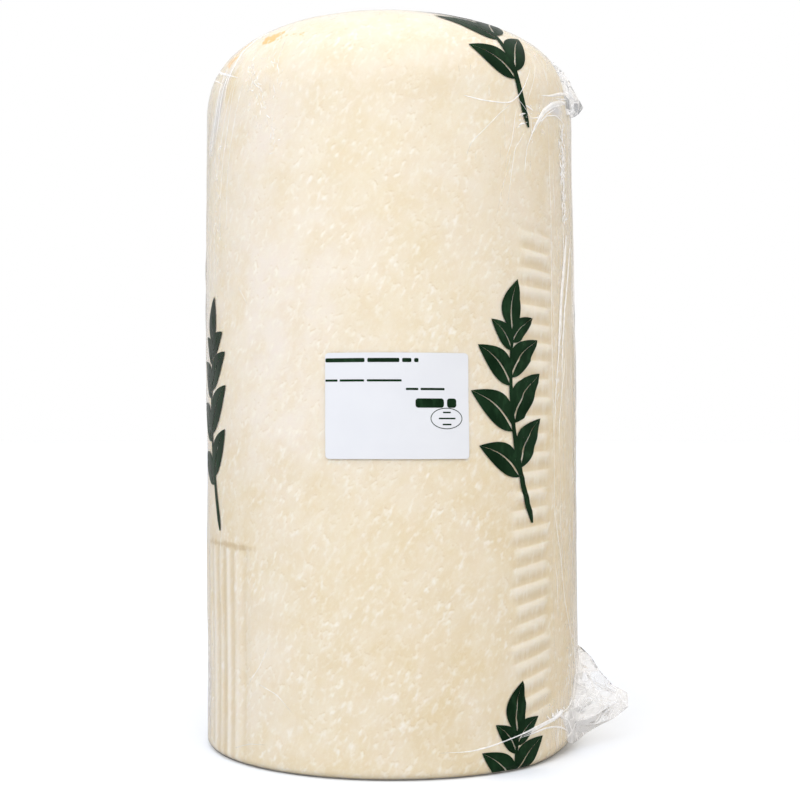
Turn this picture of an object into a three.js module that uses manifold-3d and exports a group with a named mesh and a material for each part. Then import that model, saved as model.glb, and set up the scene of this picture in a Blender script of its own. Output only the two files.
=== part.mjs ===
// A tall provolone cheese, vacuum packed in a tight clear film bag, with a paper label on its front.
//
// Frame: millimetres, +Z up, origin at the centre of the flat base. The label faces -Y.
// A turn is an angle in degrees round the axis: 0 is the label side, 90 is the +X side.

import * as THREE from 'three';
import { mergeVertices } from 'three/addons/utils/BufferGeometryUtils.js';
import Module from 'manifold-3d';

const wasm = await Module();
wasm.setup();

// ---------------------------------------------------------------- driving dimensions

// The packed cheese: a cylinder with a domed top.
const RADIUS = 76;
const HEIGHT = 294;
const DOME_RISE = 41; // from the top of the straight side up to the crown
const DOME_POWER = 2.6; // 2 is half an ellipse, more is squarer
const TAPER_START = 100; // the side draws in above this height
const TAPER = 0.014; // and has lost this share of its radius at the crown
const LEAN = 0.006; // the axis drifts towards -X by this much for each unit of height
const WOBBLE = 0.35; // unevenness of the soft cheese

// The edge round the base is tight, and rounder under the bag's lower ear.
const FOOT_ROUND = 3;
const FOOT_ROUND_AT_EAR = 10;

const SEGMENTS = 64; // round the axis
const FOOT_STEPS = 4;
const SIDE_STEPS = 14;
const DOME_STEPS = 14;
const LENS_SIDES = 6;
const LENS_STEPS = 8;

// Low swellings of the film and the cheese under it. Each is a long lens, half sunk in the surface.
// The ribs lie one above the other, the stripes side by side, and pleats run up the film.
const RIBS = {
  turn: 44.5,
  length: 23,
  thickness: 6.2,
  proud: 0.65,
  low: 22,
  high: 201,
  count: 26,
  tiltLow: 13, // degrees, ends towards +X higher
  tiltHigh: -6,
};
const STRIPES = {
  turns: [-73, -68.5, -64.2, -60.1, -55.5, -50.9],
  low: 6,
  high: 83,
  thickness: 4,
  proud: 0.5,
};
const PLEATS = [
  { turn: 67, low: 58, high: 236, thickness: 2.4, proud: 0.6 },
  { turn: 88, low: 48, high: 246, thickness: 2.6, proud: 0.9 },
  { turn: -86, low: 120, high: 258, thickness: 3.0, proud: 1.0 },
  { turn: -97, low: 60, high: 225, thickness: 2.4, proud: 0.8 },
  { turn: 168, low: 30, high: 250, thickness: 3.2, proud: 0.9 },
  { turn: -152, low: 45, high: 205, thickness: 2.2, proud: 0.6 },
  { turn: 134, low: 70, high: 240, thickness: 2.2, proud: 0.6 },
];

// The bag's corners stand off as crumpled ears. Each ear is a thin sheet from a root line on the
// side, given by its two ends, out to an edge through the tip. Reaches are from the axis.
const LOWER_EAR = {
  rootTop: { turn: 93, z: 39 },
  rootFoot: { turn: 66, z: 3.5 },
  tip: { turn: 85, z: 14.5, reach: 97.9, along: 0.6 },
  thickness: 1.8,
  crumple: 1.5,
  folds: 3,
  steps: 14,
};
const UPPER_EAR = {
  rootTop: { turn: 100, z: 273 },
  rootFoot: { turn: 86, z: 253 },
  tip: { turn: 94, z: 260, reach: 79.4, along: 0.55 },
  thickness: 2.2,
  crumple: 1.2,
  folds: 2,
  steps: 8,
};
const EAR_ROOT_SUNK = 5; // how far an ear's root line starts inside the cheese

// The label, stuck on the outside of the film.
const LABEL = {
  width: 53.5,
  height: 38.7,
  thickness: 0.35,
  corner: 1.4,
  turn: 2.2,
  z: 135.9,
};
const CLEARANCE = 0.3; // between the film and the label's back
const LABEL_SEGMENTS = 120;
const LABEL_BANDS = 3;

const CREAM = 0xf3e8cf;
const LABEL_WHITE = 0xf3f5fa;

// ---------------------------------------------------------------- the body's form

const radians = (degrees) => THREE.MathUtils.degToRad(degrees);
const lerp = THREE.MathUtils.lerp;

// Signed angle from one turn to another, in degrees.
function turnBetween(turn, other) {
  return THREE.MathUtils.euclideanModulo(turn - other + 180, 360) - 180;
}

// A smooth bump: 1 at the middle, 0 from half a width away.
function bump(distance, width) {
  const share = Math.min(Math.abs(distance) / (width / 2), 1);
  return 0.5 + 0.5 * Math.cos(Math.PI * share);
}

function footRound(turn) {
  return lerp(FOOT_ROUND, FOOT_ROUND_AT_EAR, bump(turnBetween(turn, 80), 90));
}

// Slow waves in the radius, which fade out towards the base and the crown.
function wobble(turn, z) {
  const angle = radians(turn);
  const waves = Math.sin(2 * angle + z / 46) + 0.7 * Math.sin(3 * angle - z / 31 + 1.3);
  return WOBBLE * waves * Math.sin(Math.PI * THREE.MathUtils.clamp(z / HEIGHT, 0, 1));
}

// The radius of the surface at a height, without the rounded edge of the base.
function radiusAt(turn, z) {
  const drawnIn = 1 - TAPER * THREE.MathUtils.smoothstep(z, TAPER_START, HEIGHT);
  const up = Math.max(z - (HEIGHT - DOME_RISE), 0) / DOME_RISE;
  const dome = Math.pow(Math.max(1 - Math.pow(up, DOME_POWER), 0), 1 / DOME_POWER);
  return (RADIUS * drawnIn + wobble(turn, z)) * dome;
}

// A point at a turn, a distance from the leaning axis and a height.
function place(turn, reach, z) {
  const angle = radians(turn);
  return new THREE.Vector3(reach * Math.sin(angle) - LEAN * z, -reach * Math.cos(angle), z);
}

// Moves every vertex of a geometry: move gets the vertex and gives its new place.
function reshape(geometry, move) {
  const position = geometry.getAttribute('position');
  const vertex = new THREE.Vector3();
  for (let i = 0; i < position.count; i += 1) {
    vertex.fromBufferAttribute(position, i);
    position.setXYZ(i, ...move(vertex).toArray());
  }
  return geometry;
}

// ---------------------------------------------------------------- solids

// A manifold solid from a closed geometry: its doubled vertices are merged and flat faces dropped.
function solid(geometry) {
  const plain = geometry.clone();
  plain.deleteAttribute('normal');
  plain.deleteAttribute('uv');
  const merged = mergeVertices(plain, 1e-4);
  const corners = merged.index.array;
  const triVerts = [];
  for (let i = 0; i < corners.length; i += 3) {
    const [a, b, c] = corners.slice(i, i + 3);
    if (a !== b && b !== c && c !== a) triVerts.push(a, b, c);
  }
  return new wasm.Manifold(
    new wasm.Mesh({
      numProp: 3,
      vertProperties: merged.getAttribute('position').array,
      triVerts: new Uint32Array(triVerts),
    }),
  );
}

function geometryOf(manifold) {
  const mesh = manifold.getMesh();
  const geometry = new THREE.BufferGeometry();
  geometry.setAttribute('position', new THREE.BufferAttribute(mesh.vertProperties, 3));
  geometry.setIndex(new THREE.BufferAttribute(mesh.triVerts, 1));
  geometry.computeVertexNormals();
  return geometry;
}

// ---------------------------------------------------------------- the packed cheese

// The profile only names places on the outline, as (share, height): reshape sets the true radius.
// A share is 0 on the axis and 1 on the surface. In the foot, a height from 0 to FOOT_ROUND is
// stretched to the foot's own round at each turn.
function bodyProfile() {
  const points = [new THREE.Vector2(0, 0), new THREE.Vector2(0.5, 0)];
  for (let i = 0; i <= FOOT_STEPS; i += 1) {
    points.push(new THREE.Vector2(1, (FOOT_ROUND * i) / FOOT_STEPS));
  }
  const sideTop = HEIGHT - DOME_RISE;
  for (let i = 1; i <= SIDE_STEPS; i += 1) {
    points.push(new THREE.Vector2(1, lerp(FOOT_ROUND, sideTop, i / SIDE_STEPS)));
  }
  for (let i = 1; i < DOME_STEPS; i += 1) {
    points.push(new THREE.Vector2(1, sideTop + DOME_RISE * Math.sin((Math.PI / 2) * (i / DOME_STEPS))));
  }
  points.push(new THREE.Vector2(0, HEIGHT));
  return points;
}

function packedBody() {
  const body = new THREE.LatheGeometry(bodyProfile(), SEGMENTS).rotateX(Math.PI / 2);
  return reshape(body, (vertex) => {
    const share = Math.hypot(vertex.x, vertex.y);
    const turn = THREE.MathUtils.radToDeg(Math.atan2(vertex.x, -vertex.y));
    const round = footRound(turn);
    if (vertex.z > FOOT_ROUND) {
      // The rings of the side close up a little where the foot is rounder.
      const spare = (round - FOOT_ROUND) * (1 - THREE.MathUtils.smoothstep(vertex.z, FOOT_ROUND, 60));
      const z = vertex.z + spare;
      return place(turn, share * radiusAt(turn, z), z);
    }
    const arc = share > 0.75 ? (Math.PI / 2) * (vertex.z / FOOT_ROUND) : 0;
    const reach = radiusAt(turn, round) - round * (1 - Math.sin(arc));
    return place(turn, share * reach, round * (1 - Math.cos(arc)));
  });
}

// ---------------------------------------------------------------- ribs, stripes and pleats

// A long lens laid on the side: length along the arc, tilted, thickness across it. It is made at
// the label side, where X is along the arc and -Y is outwards.
function lens({ turn, z, length, thickness, proud, tilt }) {
  const form = new THREE.SphereGeometry(1, LENS_SIDES, LENS_STEPS).rotateZ(Math.PI / 2);
  form.scale(length / 2, proud, thickness / 2);
  form.rotateY(-radians(tilt));
  return reshape(form, (vertex) => {
    const here = turn + THREE.MathUtils.radToDeg(vertex.x / RADIUS);
    const height = z + vertex.z;
    return place(here, radiusAt(here, height) - vertex.y, height);
  });
}

function ribs() {
  const { turn, length, thickness, proud, low, high, count, tiltLow, tiltHigh } = RIBS;
  return Array.from({ length: count }, (_, i) => {
    const up = i / (count - 1);
    return lens({
      turn: turn + 1.2 * Math.sin(2.4 * i),
      z: lerp(low, high, up),
      length: length * (0.9 + 0.14 * Math.sin(1.7 * i)),
      thickness,
      proud,
      tilt: lerp(tiltLow, tiltHigh, up),
    });
  });
}

function upright({ turn, low, high, thickness, proud }) {
  return lens({ turn, z: (low + high) / 2, length: high - low, thickness, proud, tilt: 90 });
}

function stripes() {
  const { turns, low, high, thickness, proud } = STRIPES;
  return turns.map((turn) => upright({ turn, low, high, thickness, proud }));
}

// ---------------------------------------------------------------- the bag's ears

// A crumple: sharp folds across a sheet, from triangle waves in two directions.
function crumple(u, v, folds) {
  const fold = (t) => 2 * Math.abs(2 * (t - Math.floor(t + 0.5))) - 1;
  return 0.6 * fold(folds * (u + 0.35 * v)) + 0.4 * fold((folds + 0.5) * (v - 0.4 * u) + 0.3);
}

// A thin sheet between the root line and the ear's edge. u runs down the root, v outwards.
function ear({ rootTop, rootFoot, tip, thickness, crumple: depth, folds, steps }) {
  const onSide = (end, out) => place(end.turn, radiusAt(end.turn, end.z) + out, end.z);
  const tipPoint = place(tip.turn, tip.reach, tip.z);
  const root = (u) => onSide(rootTop, -EAR_ROOT_SUNK).lerp(onSide(rootFoot, -EAR_ROOT_SUNK), u);
  const edge = (u) =>
    u < tip.along
      ? onSide(rootTop, 0.5).lerp(tipPoint, u / tip.along)
      : tipPoint.clone().lerp(onSide(rootFoot, 0.5), (u - tip.along) / (1 - tip.along));
  const across = tipPoint.clone().sub(onSide(rootTop, 0));
  const down = onSide(rootFoot, 0).sub(onSide(rootTop, 0));
  const facing = down.cross(across).normalize();
  const sheet = new THREE.BoxGeometry(1, 1, 1, steps, steps, 1);
  return reshape(sheet, (vertex) => {
    const u = 0.5 - vertex.y;
    const v = vertex.x + 0.5;
    const rise = depth * crumple(u, v, folds) * Math.sqrt(v) * bump(u - 0.5, 1.3);
    return root(u)
      .lerp(edge(u), v)
      .addScaledVector(facing, rise + thickness * vertex.z);
  });
}

function sealedCheese() {
  const proudForms = [...ribs(), ...stripes(), ...PLEATS.map(upright)];
  const parts = [...proudForms, ear(LOWER_EAR), ear(UPPER_EAR)];
  return parts.reduce((whole, part) => whole.add(solid(part)), solid(packedBody()));
}

// ---------------------------------------------------------------- the label

// A rounded card, pushed through the front of the cheese along Y.
function labelOutline() {
  const { width, height, corner } = LABEL;
  const left = -RADIUS * Math.sin(width / 2 / RADIUS);
  const card = new THREE.Shape();
  card.moveTo(left + corner, -height / 2);
  card.lineTo(-left - corner, -height / 2);
  card.absarc(-left - corner, corner - height / 2, corner, -Math.PI / 2, 0);
  card.absarc(-left - corner, height / 2 - corner, corner, 0, Math.PI / 2);
  card.absarc(left + corner, height / 2 - corner, corner, Math.PI / 2, Math.PI);
  card.absarc(left + corner, corner - height / 2, corner, Math.PI, 1.5 * Math.PI);
  const prism = new THREE.ExtrudeGeometry(card, {
    depth: RADIUS * 2,
    bevelEnabled: false,
    curveSegments: 4,
  });
  return prism
    .rotateX(Math.PI / 2)
    .rotateZ(radians(LABEL.turn))
    .translate(-LEAN * LABEL.z, 0, LABEL.z);
}

// A thin band all round the cheese, just off the film. The label is where the card covers it.
function labelBand() {
  const halfBand = LABEL.height / 2 + 2;
  const profile = [];
  for (let i = 0; i <= LABEL_BANDS; i += 1) {
    profile.push(new THREE.Vector2(1, lerp(-halfBand, halfBand, i / LABEL_BANDS)));
  }
  for (let i = LABEL_BANDS; i >= 0; i -= 1) {
    profile.push(new THREE.Vector2(0.5, lerp(-halfBand, halfBand, i / LABEL_BANDS)));
  }
  profile.push(profile[0].clone());
  const band = new THREE.LatheGeometry(profile, LABEL_SEGMENTS).rotateX(Math.PI / 2);
  return reshape(band, (vertex) => {
    const turn = THREE.MathUtils.radToDeg(Math.atan2(vertex.x, -vertex.y));
    const z = LABEL.z + vertex.z;
    const outer = Math.hypot(vertex.x, vertex.y) > 0.75;
    const off = CLEARANCE + (outer ? LABEL.thickness : 0);
    return place(turn, radiusAt(turn, z) + off, z);
  });
}

function label() {
  return solid(labelBand()).intersect(solid(labelOutline()));
}

// ---------------------------------------------------------------- the part

function node(name, manifold, material) {
  const mesh = new THREE.Mesh(geometryOf(manifold), material);
  mesh.name = name;
  return mesh;
}

const filmOverCheese = new THREE.MeshStandardMaterial({
  color: CREAM,
  roughness: 0.3,
  metalness: 0,
});
const paper = new THREE.MeshStandardMaterial({ color: LABEL_WHITE, roughness: 0.6, metalness: 0 });

const group = new THREE.Group();
group.add(node('sealed_cheese', sealedCheese(), filmOverCheese));
group.add(node('label', label(), paper));

export default group;
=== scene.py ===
# %% [markdown]
# # A provolone cheese in its clear bag
#
# The real object is a tall, soft cylinder of cheese. A clear bag is drawn tight round it by a
# vacuum pump, so that every rib and dent of the cheese shows through, and the bag's spare film
# stands off in pleats, creases and two crumpled ears. Dark green ink is printed on the film, and
# a white paper label is stuck on the front.
#
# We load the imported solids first. They fix every size and place, and we dress them.

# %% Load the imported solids
import math

import bpy
import numpy as np
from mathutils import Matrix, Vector, noise


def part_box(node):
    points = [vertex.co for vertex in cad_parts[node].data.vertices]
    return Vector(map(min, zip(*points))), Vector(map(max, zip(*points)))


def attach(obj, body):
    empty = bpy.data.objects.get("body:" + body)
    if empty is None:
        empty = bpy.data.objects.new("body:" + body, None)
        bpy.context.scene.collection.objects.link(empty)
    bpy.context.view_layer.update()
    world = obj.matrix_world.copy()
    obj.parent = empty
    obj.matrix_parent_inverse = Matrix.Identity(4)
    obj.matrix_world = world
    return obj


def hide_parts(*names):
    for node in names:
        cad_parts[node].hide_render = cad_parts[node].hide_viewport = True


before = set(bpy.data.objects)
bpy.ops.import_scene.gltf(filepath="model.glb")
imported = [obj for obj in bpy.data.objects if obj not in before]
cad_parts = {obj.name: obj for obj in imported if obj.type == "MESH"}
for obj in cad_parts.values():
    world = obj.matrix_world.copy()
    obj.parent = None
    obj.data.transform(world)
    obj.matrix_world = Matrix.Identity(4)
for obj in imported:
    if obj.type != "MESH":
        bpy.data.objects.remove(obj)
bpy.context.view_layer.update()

# %% [markdown]
# ## The form in numbers
#
# One formula gives the outline: a side that draws in a little towards the top, and a dome that is
# a squared ellipse. A "turn" is the angle in degrees round the axis, 0 at the label, 90 on the
# side of the ears. A "run" is the distance up the outline from the base, over the shoulder and on
# to the crown, which is how a strip of film would measure it.

# %% Driving dimensions, in metres
MM = 0.001
RADIUS = 76 * MM
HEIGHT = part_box("sealed_cheese")[1].z
DOME_RISE = 41 * MM
DOME_POWER = 2.6
TAPER = 0.014
TAPER_START = 100 * MM
LEAN = 0.006
WOBBLE = 0.35 * MM
FOOT_ROUND = 3 * MM
FOOT_ROUND_AT_EAR = 10 * MM
FOOT_TURN = 80
FOOT_SPREAD = 45
SIDE_TOP = HEIGHT - DOME_RISE


# %% The outline and the skin as functions
def smooth(x, low, high):
    """0 at low, 1 at high, and an even S between them."""
    t = np.clip((x - low) / (high - low), 0, 1)
    return t * t * (3 - 2 * t)


def turn_gap(turn, middle):
    """How far a turn is from a middle turn, from -180 to 180 degrees."""
    return (turn - middle + 180) % 360 - 180


def bump(gap, reach):
    """1 in the middle, 0 from reach away."""
    return 0.5 + 0.5 * np.cos(np.pi * np.minimum(np.abs(gap) / reach, 1))


def spots(turn, z, places):
    """The highest of soft spots, each with a turn, a height, half sizes both ways and a peak."""
    rise = np.zeros_like(turn)
    for middle, height, half_turn, half_height, peak in places:
        near = bump(turn_gap(turn, middle), half_turn) * bump(z - height * MM, half_height * MM)
        rise = np.maximum(rise, peak * near)
    return rise


def band(turn, z, stops, half):
    """1 along a line through stops of turn and height, 0 from half a width in mm away."""
    across, gap = RADIUS * np.radians(turn), np.full_like(turn, np.inf)
    line = np.array(stops) * np.array([RADIUS * math.radians(1), MM])
    for start, end in zip(line, line[1:]):
        step = end - start
        along = (across - start[0]) * step[0] + (z - start[1]) * step[1]
        share = np.clip(along / np.dot(step, step), 0, 1)
        beside = across - start[0] - share * step[0]
        gap = np.minimum(gap, np.hypot(beside, z - start[1] - share * step[1]))
    return bump(gap, half * MM)


def outline_radius(z):
    drawn_in = 1 - TAPER * smooth(z, TAPER_START, HEIGHT)
    up = np.clip((z - SIDE_TOP) / DOME_RISE, 0, 1)
    return RADIUS * drawn_in * (1 - up**DOME_POWER) ** (1 / DOME_POWER)


def foot_pull(z, round_off):
    """How far a rounded foot edge of that radius draws the side in."""
    lack = np.clip(1 - z / round_off, 0, 1)
    return round_off * (1 - np.sqrt(1 - lack**2))


def foot_round(turn):
    return FOOT_ROUND + (FOOT_ROUND_AT_EAR - FOOT_ROUND) * bump(turn_gap(turn, FOOT_TURN), FOOT_SPREAD)


def uneven(turn, z):
    """Slow waves in the radius of the soft cheese."""
    angle = np.radians(turn)
    waves = np.sin(2 * angle + z / (46 * MM)) + 0.7 * np.sin(3 * angle - z / (31 * MM) + 1.3)
    return WOBBLE * waves * np.sin(np.pi * np.clip(z / HEIGHT, 0, 1))


def skin_radius(turn, z):
    """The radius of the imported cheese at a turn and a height."""
    waved = outline_radius(z) * (1 + uneven(turn, z) / RADIUS)
    return waved - foot_pull(z, foot_round(turn))


DOME_ARC = np.sin(np.linspace(0, np.pi / 2, 200))[1:]
RUN_Z = np.concatenate([np.linspace(0, SIDE_TOP, 200), SIDE_TOP + DOME_RISE * DOME_ARC])
RUN_R = outline_radius(RUN_Z)
RUN = np.concatenate([[0], np.cumsum(np.hypot(np.diff(RUN_Z), np.diff(RUN_R)))])
FULL_RUN = RUN[-1]


def outward(run):
    """The outline's outward direction at a run: its radial and its upward share."""
    step = 0.5 * MM
    dz = np.interp(run + step, RUN, RUN_Z) - np.interp(run - step, RUN, RUN_Z)
    dr = np.interp(run + step, RUN, RUN_R) - np.interp(run - step, RUN, RUN_R)
    length = np.maximum(np.hypot(dz, dr), 1e-9)
    return dz / length, -dr / length


def around(turn, reach, z):
    """Points from a turn in degrees, a distance from the leaning axis and a height, in metres."""
    angle = np.radians(turn)
    return np.stack([reach * np.sin(angle) - LEAN * z, -reach * np.cos(angle), z], axis=-1)


def on_skin(turn, run, off=0.0):
    """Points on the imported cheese, or a distance off its surface, as an array of x, y, z."""
    turn, run = np.broadcast_arrays(np.asarray(turn, float), np.asarray(run, float))
    z = np.interp(run, RUN, RUN_Z)
    radial, upward = outward(run)
    return around(turn, skin_radius(turn, z) + off * radial, z + off * upward)


print(f"round {2 * RADIUS / MM:.0f} mm, tall {HEIGHT / MM:.0f} mm, outline run {FULL_RUN / MM:.0f} mm")

# %% [markdown]
# ## Small tools for modelling
#
# Operators act on whatever is selected, and loading leaves the solids selected. So each piece
# starts with a clean selection. Every finished piece keeps its object at the origin, with its
# place in its mesh, as the solids do.


# %% Tools that start, finish and reshape a piece
def select_only(piece):
    if bpy.context.object and bpy.context.object.mode != "OBJECT":
        bpy.ops.object.mode_set(mode="OBJECT")
    bpy.ops.object.select_all(action="DESELECT")
    if piece:
        piece.select_set(True)
        bpy.context.view_layer.objects.active = piece


def named(name):
    """Names the object that was just made, and its data."""
    piece = bpy.context.object
    piece.name = name
    piece.data.name = name
    return piece


def edit_all(piece):
    select_only(piece)
    bpy.ops.object.mode_set(mode="EDIT")
    bpy.ops.mesh.select_all(action="SELECT")


def turn_faces(piece):
    """Turns every face of a piece to look the other way."""
    edit_all(piece)
    bpy.ops.mesh.flip_normals()
    bpy.ops.object.mode_set(mode="OBJECT")


def unit_grid(name, columns, rows):
    """A flat grid one unit wide and deep, in the middle."""
    select_only(None)
    bpy.ops.mesh.primitive_grid_add(
        x_subdivisions=columns, y_subdivisions=rows, size=1, location=(0, 0, 0)
    )
    return named(name)


def copy_of(piece, name):
    select_only(piece)
    bpy.ops.object.duplicate()
    return named(name)


def joined(pieces, name):
    select_only(pieces[0])
    for piece in pieces:
        piece.select_set(True)
    bpy.ops.object.join()
    return named(name)


def apply_all(piece):
    """Applies every modifier of a piece, from the top of its stack."""
    select_only(piece)
    for modifier in list(piece.modifiers):
        bpy.ops.object.modifier_apply(modifier=modifier.name)


def apply_place(piece):
    select_only(piece)
    bpy.ops.object.transform_apply(location=True, rotation=True, scale=True)


def shaded(piece, angle=180):
    """Smooth shading across edges flatter than an angle in degrees."""
    select_only(piece)
    if angle >= 180:
        bpy.ops.object.shade_smooth()
    else:
        bpy.ops.object.shade_smooth_by_angle(angle=math.radians(angle))


def fixed_to_root(piece, slot, *nodes):
    """Every piece rides on the one body, and may stand for solids. Its slot is not used."""
    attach(piece, "root")
    if nodes:
        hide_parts(*nodes)
    print(piece.name, "-", len(piece.data.polygons), "faces")


# %% Reading and writing all points of a mesh at once
def read_points(piece, kind="co"):
    flat = np.empty(len(piece.data.vertices) * 3, np.float32)
    piece.data.vertices.foreach_get(kind, flat)
    return flat.reshape(-1, 3).astype(float)


def write_points(piece, points):
    piece.data.vertices.foreach_set("co", np.asarray(points, np.float32).ravel())
    piece.data.update()


def turns_of(points):
    """Turn and height of points on the leaning form."""
    turn = np.degrees(np.arctan2(points[:, 0] + LEAN * points[:, 2], -points[:, 1]))
    return turn, points[:, 2]


def swell(piece, amounts):
    """Moves each point along its own normal."""
    write_points(piece, read_points(piece) + read_points(piece, "normal") * amounts[:, None])


def mark(piece, name, values):
    """Keeps a number at each point, which a material can read by name."""
    attribute = piece.data.attributes.new(name, "FLOAT", "POINT")
    attribute.data.foreach_set("value", np.asarray(values, np.float32))


def cloud(points, size, seed=0.0, squeeze=(1, 1, 1)):
    """Soft noise from -1 to 1 at points, in lumps of about that size."""
    places = points / size * np.array(squeeze) + seed
    return np.array([noise.noise(Vector(place)) for place in places])


# %% [markdown]
# ## A skin of revolution
#
# The cheese and its film are both turned forms, and they share their unevenness. So one skin is
# made first, and both are copied from it. A single vertex is drawn up the outline by extruding it
# step by step, and spun once round the axis. Spinning gives even columns. They are then drawn
# towards the front right, where the finest marks are, and each point is settled on the true form,
# which leans, swells a little and has a rounder foot under the ear.

# %% Draw the outline and spin it
COLUMNS = 336
ROW = 1.25 * MM
PULL = 0.25  # columns are this share closer at the pull turn, and wider across from it
PULL_TURN = 35
FOOT_ROWS = 6
BASE_ROWS = 4
MERGE = 0.01 * MM


def drawn_outline():
    """The outline from the middle of the base to the crown, as points in the XZ plane."""
    rim = RADIUS - FOOT_ROUND
    points = [(rim * i / BASE_ROWS, 0.0) for i in range(BASE_ROWS + 1)]
    for i in range(1, FOOT_ROWS + 1):
        z = FOOT_ROUND * (1 - math.cos(math.pi / 2 * i / FOOT_ROWS))
        points.append((RADIUS - float(foot_pull(z, FOOT_ROUND)), z))
    rows = round((FULL_RUN - FOOT_ROUND) / ROW)
    for i in range(1, rows):
        z = float(np.interp(FOOT_ROUND + (FULL_RUN - FOOT_ROUND) * i / rows, RUN, RUN_Z))
        points.append((float(outline_radius(z)), z))
    return points + [(0.0, HEIGHT)]


def spun_skin(name):
    select_only(None)
    bpy.ops.mesh.primitive_plane_add(size=1 * MM, location=(0, 0, 0))
    piece = named(name)
    edit_all(piece)
    bpy.ops.mesh.merge(type="CENTER")
    outline = drawn_outline()
    for (r0, z0), (r1, z1) in zip(outline, outline[1:]):
        bpy.ops.mesh.extrude_vertices_move(TRANSFORM_OT_translate={"value": (r1 - r0, 0, z1 - z0)})
    bpy.ops.mesh.select_all(action="SELECT")
    bpy.ops.mesh.spin(steps=COLUMNS, angle=2 * math.pi, center=(0, 0, 0), axis=(0, 0, 1))
    bpy.ops.mesh.select_all(action="SELECT")
    bpy.ops.mesh.remove_doubles(threshold=MERGE)
    bpy.ops.mesh.normals_make_consistent(inside=False)
    bpy.ops.object.mode_set(mode="OBJECT")
    return piece


# %% Settle it on the true form
def settle(piece):
    points = read_points(piece)
    reach, z = np.hypot(points[:, 0], points[:, 1]), points[:, 2]
    angle = np.arctan2(points[:, 0], -points[:, 1])
    angle -= PULL * np.sin(angle - math.radians(PULL_TURN))
    turn = np.degrees(angle)
    on_base = reach * (RADIUS - foot_round(turn)) / (RADIUS - FOOT_ROUND)
    settled = np.where(z < MERGE, on_base, skin_radius(turn, z))
    settled[reach < MERGE] = 0
    x = settled * np.sin(angle) - LEAN * z
    write_points(piece, np.stack([x, -settled * np.cos(angle), z], axis=1))


skin = spun_skin("skin")
settle(skin)
print("skin:", len(skin.data.vertices), "points,", len(skin.data.polygons), "faces")

# %% [markdown]
# ## Relief pressed into the cheese
#
# The cheese carries the marks of how it was made. A column of soft ribs on the right comes from
# the cords it hung in, and upright stripes low on the left come from the mould. Both show through
# the film, so the cheese and the film share them. Each is worked out as a height above the plain
# form, and the skin is moved along its own normals by that height. Noise adds the soft lumps of a
# hand-sized press.

# %% Ribs on the right, stripes on the left
RIB_TURN = 44.5
RIB_DRIFT = 4.0  # how far the column has moved on, in degrees, where it ends
RIB_HALF_ARC = 12 * MM
RIB_LOW, RIB_HIGH = 19 * MM, 208 * MM
RIB_PITCH = 7.0 * MM
RIB_DEPTH = 0.65 * MM
RIB_CREST = 0.8  # where a rib stands out most, as a share of its height
RIB_SLOPE_LOW, RIB_SLOPE_HIGH = math.tan(math.radians(13)), math.tan(math.radians(-6))
STRIPE_EDGES = (-84.0, -75.0, -69.5, -63.4, -58.8, -54.0, -48.0)  # turns of the furrows
# The furrows are painted dark, as painted shade in the recesses between the flutes.
FURROW_SHADES = (0.3, 0.5, 0.3, 0.8, 1.0, 0.8, 0.4)  # how dark each furrow is
FURROW_HALF = 1.5  # half its width in degrees
# The backs of the flutes are painted paler, as a painted highlight where light catches them.
FLUTE_HIGHLIGHTS = (  # turn, half width and paleness of the backs between furrows
    (-66.8, 1.8, 0.8), (-61.2, 1.2, 0.4), (-56.3, 1.4, 1.0), (-51.2, 1.6, 0.5),
)
STRIPE_TOP = 82.9 * MM
LEDGE_STEP = -0.6 * MM  # the ledge drops this far near its right end
LEDGE_STEP_TURNS = (-57, -50)
STRIPE_DEPTH = 0.6 * MM
STRIPE_SINK = 0.3 * MM


def rib_zone(turn, z):
    """1 inside the column of ribs, falling to 0 at its ragged edges."""
    middle = RIB_TURN + RIB_DRIFT * smooth(z, 90 * MM, 180 * MM)
    across = RADIUS * np.radians(turn_gap(turn, middle))
    ragged = np.abs(across) + 1.6 * MM * np.sin(1.9 * np.floor(z / RIB_PITCH))
    edge = 1 - smooth(ragged, 0.62 * RIB_HALF_ARC, RIB_HALF_ARC)
    low_end = smooth(z, RIB_LOW - 4 * MM, RIB_LOW + 4 * MM)
    high_end = 1 - smooth(z, RIB_HIGH - 12 * MM, RIB_HIGH + 2 * MM)
    return edge * low_end * high_end


def ribs(turn, z):
    """Soft shingles one above the other, each one proudest near its upper edge."""
    across = RADIUS * np.radians(turn_gap(turn, RIB_TURN))
    up = np.clip((z - RIB_LOW) / (RIB_HIGH - RIB_LOW), 0, 1)
    slope = RIB_SLOPE_LOW + (RIB_SLOPE_HIGH - RIB_SLOPE_LOW) * up
    phase = (z - slope * across) / RIB_PITCH
    index = np.floor(phase)
    place = phase - index
    shingle = np.where(place < RIB_CREST, smooth(place, 0, RIB_CREST), 1 - smooth(place, RIB_CREST, 1))
    strength = 0.8 + 0.2 * np.sin(2.4 * index)
    return RIB_DEPTH * (shingle * strength - 0.4) * rib_zone(turn, z)


def stripe_rise(turn):
    """1 on the back of each upright flute, 0 in the furrows between them."""
    rise = np.zeros_like(turn)
    for left, right in zip(STRIPE_EDGES, STRIPE_EDGES[1:]):
        place = np.clip((turn - left) / (right - left), 0, 1)
        rise += np.sin(np.pi * place) ** 0.6
    return rise


def furrow_shade(turn):
    """The darkest painted shade of the furrows at a turn."""
    lines = [dark * bump(turn_gap(turn, edge), FURROW_HALF) for edge, dark in zip(STRIPE_EDGES, FURROW_SHADES)]
    return np.maximum.reduce(lines)


def flute_highlight(turn):
    """The strongest painted highlight on the flutes' backs at a turn."""
    return np.maximum.reduce([painted_light * bump(turn_gap(turn, middle), half) for middle, half, painted_light in FLUTE_HIGHLIGHTS])


def ledge_height(turn):
    return STRIPE_TOP + LEDGE_STEP * smooth(turn, *LEDGE_STEP_TURNS)


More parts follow.
